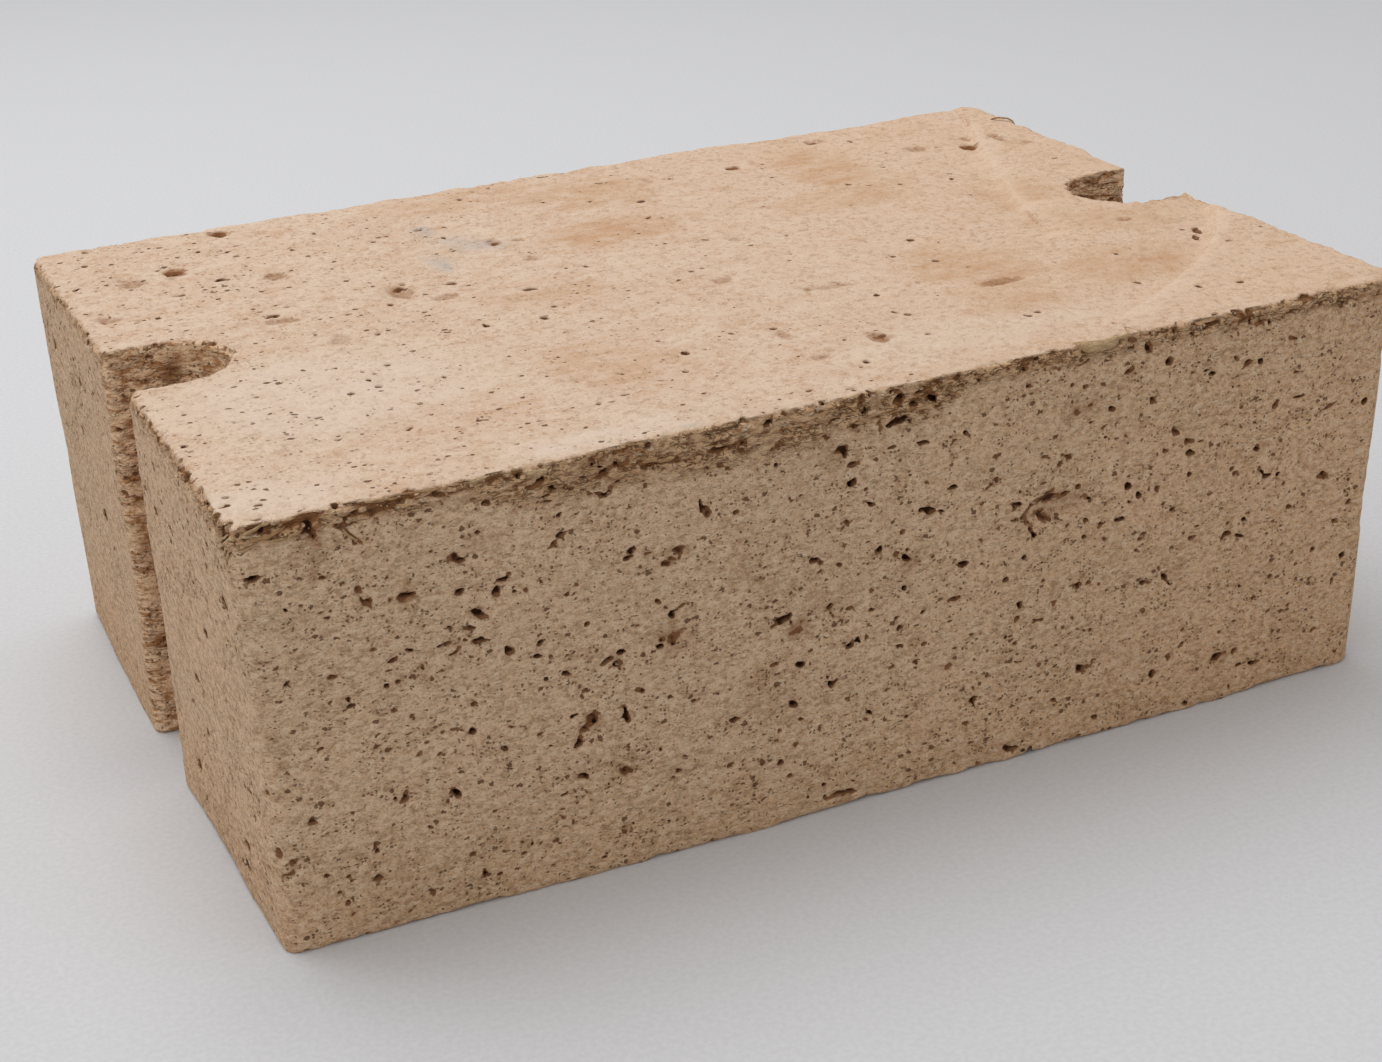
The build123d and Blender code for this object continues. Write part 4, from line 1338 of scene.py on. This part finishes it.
class Earth(Tree):
    """Dry earth: mottled, finely pitted sides, a paler smeared top, brown in torn places, and brown with
    painted shade in hollows, small pores and fine cracks; pale flakes are partly a painted highlight, fold
    crests a painted highlight, and one spot on the front a painted shadow.
    """

    def __init__(self):
        super().__init__("adobe_earth")
        place = self.place = self.millimetres()
        self.across, self.height = self.axes(place)["X"], self.axes(place)["Z"]
        self.top, self.slot, self.torn = (self.mask(name) for name in ("top", "slot", "torn"))
        self.patchy = self.noise(place, (9.0, 9.0, 6.0), 4.0, 0.65)
        self.grain = self.noise(place, (2.1, 2.1, 1.1), 4.0, 0.7)
        self.smear = self.noise(place, (10.0, 5.5, 6.0), 5.0, 0.65)
        self.fine = self.noise(place, (0.6, 0.6, 0.4), 2.0, 0.7)
        self.layers = self.noise(place, (4.0, 4.0, 1.2), 4.0, 0.7)
        self.bent = self.warped(place, 1.2, 0.5)
        self.from_grain, _, self.grain_luck = self.cells(self.bent, (1.5, 1.5, 1.0))

    def small_pores(self, place, size, largest, rarity, crowd, dimensions="3D"):
        """0 to 1 in small pores. Cells of that size hold one each, up to largest of the cell wide.

        The share rarity of them have none, and crowd is added to each cell's luck.
        """
        distance, luck, _ = self.cells(place, size, dimensions)
        radius = self.between(self.plus(luck, crowd), rarity, rarity + 0.25, 0.0, largest)
        return self.between(self.math("SUBTRACT", radius, distance), 0.0, 0.07)

    def side_colour(self):
        return self.tinted(
            linear(215, 182, 149),
            (self.noise(self.place, (34.0, 34.0, 26.0)), 0.35, 0.65, 0.0, 1.0, (222, 187, 153)),
            (self.across, -60.0, 160.0, 0.0, 0.6, (219, 176, 133)),
            (self.height, 2.0, 34.0, 0.4, 0.0, (210, 166, 122)),
            (self.patchy, 0.52, 0.7, 0.0, 0.5, (190, 150, 113)),
            (self.grain, 0.34, 0.52, 0.5, 0.0, (122, 87, 58)),
            (self.grain, 0.52, 0.68, 0.0, 0.5, (236, 212, 184)),
            (self.fine, 0.48, 0.3, 0.0, 0.6, (134, 96, 62)),
            (self.fine, 0.54, 0.74, 0.0, 0.6, (240, 216, 188)),
            (self.grain_luck, 0.55, 1.0, 0.0, 0.3, (150, 112, 78)),
            (self.grain_luck, 0.35, 0.0, 0.0, 0.25, (232, 208, 180)),
        )

    def top_colour(self):
        colour = self.tinted(
            linear(216, 191, 169),
            (self.smear, 0.35, 0.68, 0.0, 1.0, (208, 179, 153)),
            (self.across, -40.0, 120.0, 0.0, 0.4, (211, 176, 144)),
            (self.patchy, 0.52, 0.72, 0.0, 0.55, (196, 158, 124)),
            (self.grain, 0.34, 0.5, 0.5, 0.0, (164, 124, 90)),
            (self.grain_luck, 0.7, 1.0, 0.0, 0.3, (176, 138, 104)),
            (self.fine, 0.48, 0.72, 0.0, 0.55, (234, 216, 198)),
        )
        cloud = self.times(self.mask("cloud"), self.between(self.smear, 0.25, 0.7, 0.3, 1.3))
        colour = self.mix(cloud, colour, linear(190, 144, 104))
        # painted highlight: a pale line along each fold's crest
        colour = self.mix(self.times(self.mask("crest"), 0.45), colour, linear(228, 205, 182))
        film = self.times(self.mask("film"), self.between(self.patchy, 0.3, 0.65, 0.4, 1.3))
        return self.mix(film, colour, linear(226, 211, 197))

    def slot_colour(self):
        return self.tinted(
            linear(182, 130, 86),
            (self.layers, 0.38, 0.58, 0.0, 1.0, (250, 214, 176)),
            (self.grain, 0.3, 0.5, 0.4, 0.0, (150, 100, 58)),
        )

    def torn_colour(self):
        return self.tinted(
            linear(148, 104, 66),
            (self.layers, 0.36, 0.6, 0.0, 1.0, (212, 172, 130)),
            (self.grain, 0.52, 0.66, 0.0, 0.7, (234, 204, 168)),
        )

    def crackle_with_painted_shade(self):
        """1 on the fine cracks in torn earth, 0 elsewhere; the colour paints them dark as a painted shade
        for cracks too fine to carve.
        """
        wander = self.noise(self.warped(self.place, 2.0, 0.8), (5.0, 5.0, 1.5), 2.0, 0.6)
        line = self.between(self.math("ABSOLUTE", self.plus(wander, -0.5)), 0.008, 0.035, 1.0, 0.0)
        line = self.times(line, self.math("MAXIMUM", self.torn, self.times(self.slot, 0.6)))
        return self.times(line, self.between(self.patchy, 0.38, 0.55, 0.25, 1.0))

    def pits_with_painted_shade(self):
        """1 in the pores that are too small to carve, 0 elsewhere; the colour paints them dark as a painted
        shade for the depth they lack. The top's are fewer.
        """
        ragged = self.warped(self.bent, 0.5, 0.3)
        at_end = self.between(self.math("ABSOLUTE", self.across), 144.0, 149.0, 0.0, -0.04)
        gather = self.plus(self.between(self.patchy, 0.35, 0.65, -0.16, 0.16), at_end)
        pores = self.small_pores(ragged, (2.2, 2.2, 1.6), 0.36, 0.76, gather)
        specks = self.small_pores(ragged, (0.95, 0.95, 0.65), 0.42, 0.7, gather)
        loose = self.warped(self.place, 1.1, 0.35)
        thinner = self.between(self.across, -120.0, 130.0, 0.05, -0.1)
        gather = self.plus(self.between(self.smear, 0.35, 0.65, -0.1, 0.1), thinner)
        flat_pores = self.small_pores(loose, (2.4, 1.9, 1.0), 0.4, 0.9, gather, "2D")
        flat_specks = self.small_pores(loose, (1.2, 0.9, 1.0), 0.42, 0.9, gather, "2D")
        side = self.math("MAXIMUM", pores, self.times(specks, 0.9))
        return self.mix(self.top, side, self.math("MAXIMUM", flat_pores, self.times(flat_specks, 0.5)))

    def hollow(self):
        """Depth of the carved hollows, which paints them brown and darker with painted shade; less on walls
        that face up, where dust lies and a painted highlight stands for the light they catch, and less on
        the top.
        """
        facing = self.node("ShaderNodeNewGeometry", {}).outputs["True Normal"]
        dusty_and_lit = self.times(self.between(self.axes(facing)["Z"], 0.2, 0.7), self.rest(self.top))
        depth = self.plus(self.mask("depth"), self.between(self.grain, 0.3, 0.7, -0.12, 0.12))
        depth = self.times(depth, self.between(dusty_and_lit, 0.0, 1.0, 1.0, 0.7))
        return self.times(depth, self.between(self.top, 0.0, 1.0, 1.0, 0.75))

    def flakes_and_highlights(self):
        """1 on the pale flakes of the sides, 0 elsewhere; their paleness is partly the earth's and partly a
        painted highlight on their raised, lit sides.
        """
        crowd = self.between(self.patchy, 0.35, 0.65, 0.14, -0.14)
        flakes_and_highlights = self.small_pores(self.bent, (3.2, 3.2, 0.9), 0.42, 0.72, crowd)
        return self.times(flakes_and_highlights, self.rest(self.top))

    def colour(self, crackle_with_painted_shade, pits_with_painted_shade, flakes_and_highlights):
        colour = self.mix(self.top, self.side_colour(), self.top_colour())
        colour = self.mix(self.slot, colour, self.slot_colour())
        torn = self.times(self.torn, self.between(self.patchy, 0.3, 0.55, 0.35, 0.95))
        colour = self.mix(torn, colour, self.torn_colour())
        # painted shade: dark lines along the fine cracks
        colour = self.mix(self.times(crackle_with_painted_shade, 0.7), colour, linear(96, 58, 30))
        # stains, and one painted shadow in the front's torn hollow
        stain_and_shadow = self.times(self.mask("stain_and_shadow"), self.between(self.grain, 0.3, 0.65, 1.15, 0.6))
        colour = self.mix(stain_and_shadow, colour, linear(146, 101, 64))
        colour = self.mix(self.mask("smudge"), colour, linear(168, 166, 166))
        # painted shade: dark brown in the pores too small to carve
        colour = self.mix(self.times(pits_with_painted_shade, 0.85), colour, linear(100, 62, 34))
        # painted shade: the hollows turn brown and then near black with depth; the brown is partly the
        # earth's own, the darkest part is painted shade
        hollow = self.hollow()
        colour = self.tinted(
            colour,
            (hollow, 0.22, 0.4, 0.0, 0.85, (128, 80, 42)),
            (hollow, 0.6, 1.3, 0.0, 0.92, (64, 33, 14)),
        )
        # pale flakes: partly pale earth, partly painted highlight
        return self.mix(self.times(flakes_and_highlights, 0.5), colour, linear(236, 208, 176))

    def rise(self, crackle_with_painted_shade, pits_with_painted_shade, flakes_and_highlights):
        """Height of the grain, for the bump, in mm."""
        rise = self.times(self.rest(self.from_grain), 0.25)
        lumps = self.noise(self.place, (7.0, 7.0, 3.2), 2.0)
        for pattern, share in ((self.grain, 0.6), (self.fine, 0.45), (lumps, 0.4), (flakes_and_highlights, 0.35)):
            rise = self.plus(rise, self.times(pattern, share))
        rise = self.times(rise, self.rest(self.times(self.top, 0.65)))
        torn = self.math("MAXIMUM", self.torn, self.slot)
        rise = self.plus(rise, self.times(self.times(self.layers, 0.9), torn))
        return self.math("SUBTRACT", rise, self.times(self.math("MAXIMUM", pits_with_painted_shade, crackle_with_painted_shade), 0.6))


def adobe_material():
    """The brick's earth."""
    earth = Earth()
    layers = earth.crackle_with_painted_shade(), earth.pits_with_painted_shade(), earth.flakes_and_highlights()
    return earth.finish(earth.colour(*layers), roughness=0.92, height=earth.rise(*layers), distance=MM)


def straw_material():
    """Dry straw, from pale to brown, streaked along."""
    t = Tree("straw")
    streak = t.noise(t.millimetres(), (2.0, 0.4, 0.4), 3.0, 0.7)
    colour = t.mix(t.mask("tone"), linear(208, 182, 142), linear(168, 126, 82))
    colour = t.tinted(colour, (streak, 0.4, 0.65, 0.5, 0.0, (116, 80, 46)))
    return t.finish(colour, roughness=0.7, height=streak, distance=0.1 * MM)


def floor_material():
    """Pale matt studio floor."""
    t = Tree("studio_floor")
    speckle = t.noise(t.millimetres(), (1.4, 1.4, 1.4), 2.0)
    colour = t.tinted(linear(208, 209, 212), (speckle, 0.3, 0.7, 0.0, 1.0, (214, 215, 218)))
    return t.finish(colour, roughness=0.9, height=speckle, distance=0.02 * MM)


# Soft lamps: name, place and size in m, power in W
LAMPS = [
    ("overhead", (-0.25, 0.55, 1.5), 1.3, 14.0),
    ("side_fill", (-1.2, -1.0, 0.9), 1.0, 2.6),
]
LAMP_AIM = (0.0, 0.0, 0.05)
SKY_COLOUR = (1.0, 0.985, 0.965, 1.0)
SKY_STRENGTH = 0.55
FLOOR_REACH = 6.0  # m

# The camera, solved from the brick's corners and outlines in the photograph
CAMERA_PLACE = (-237.4, -498.8, 268.9)
CAMERA_TURN = (25.32, 23.31, -1.65)  # towards +X from +Y, downwards, and roll, in degrees
CAMERA_LENS = 57.26
SENSOR_WIDTH = 36.0


def add_lamp(name, place, size, power):
    """A square lamp that shines at the brick."""
    lamp = bpy.data.lights.new(name, "AREA")
    lamp.size = size
    lamp.energy = power
    light = add_object(name, lamp)
    light.location = place
    light.rotation_euler = (Vector(LAMP_AIM) - Vector(place)).to_track_quat("-Z", "Y").to_euler()


def add_camera():
    """The camera at the photograph's place."""
    lens = bpy.data.cameras.new("camera")
    lens.sensor_width = SENSOR_WIDTH
    lens.lens = CAMERA_LENS
    lens.clip_start = 0.01
    camera = add_object("camera", lens)
    ahead, down, roll = (math.radians(angle) for angle in CAMERA_TURN)
    turn = Matrix.Rotation(-ahead, 4, "Z") @ Matrix.Rotation(math.pi / 2 - down, 4, "X")
    turn = turn @ Matrix.Rotation(roll, 4, "Z")
    camera.matrix_world = Matrix.Translation(Vector(CAMERA_PLACE) * MM) @ turn
    bpy.context.scene.camera = camera


def studio():
    """Floor, soft light and the camera."""
    floor = add_object("floor", bpy.data.meshes.new("floor"))
    corners = [(x * FLOOR_REACH, y * FLOOR_REACH, 0.0) for x, y in ((-1, -1), (1, -1), (1, 1), (-1, 1))]
    floor.data.from_pydata(corners, [], [(0, 1, 2, 3)])
    floor.data.materials.append(floor_material())
    world = bpy.data.worlds.new("studio")
    world.use_nodes = True
    background = world.node_tree.nodes["Background"]
    background.inputs["Color"].default_value = SKY_COLOUR
    background.inputs["Strength"].default_value = SKY_STRENGTH
    bpy.context.scene.world = world
    for lamp in LAMPS:
        add_lamp(*lamp)
    add_camera()


bpy.context.scene.view_settings.view_transform = "Standard"
earth = adobe_material()
brick, clay = brick_piece()
brick.data.materials.append(earth)
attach(brick, BODY)
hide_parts(NODE)
straw_piece(clay)
crumb_piece(clay, earth)
studio()
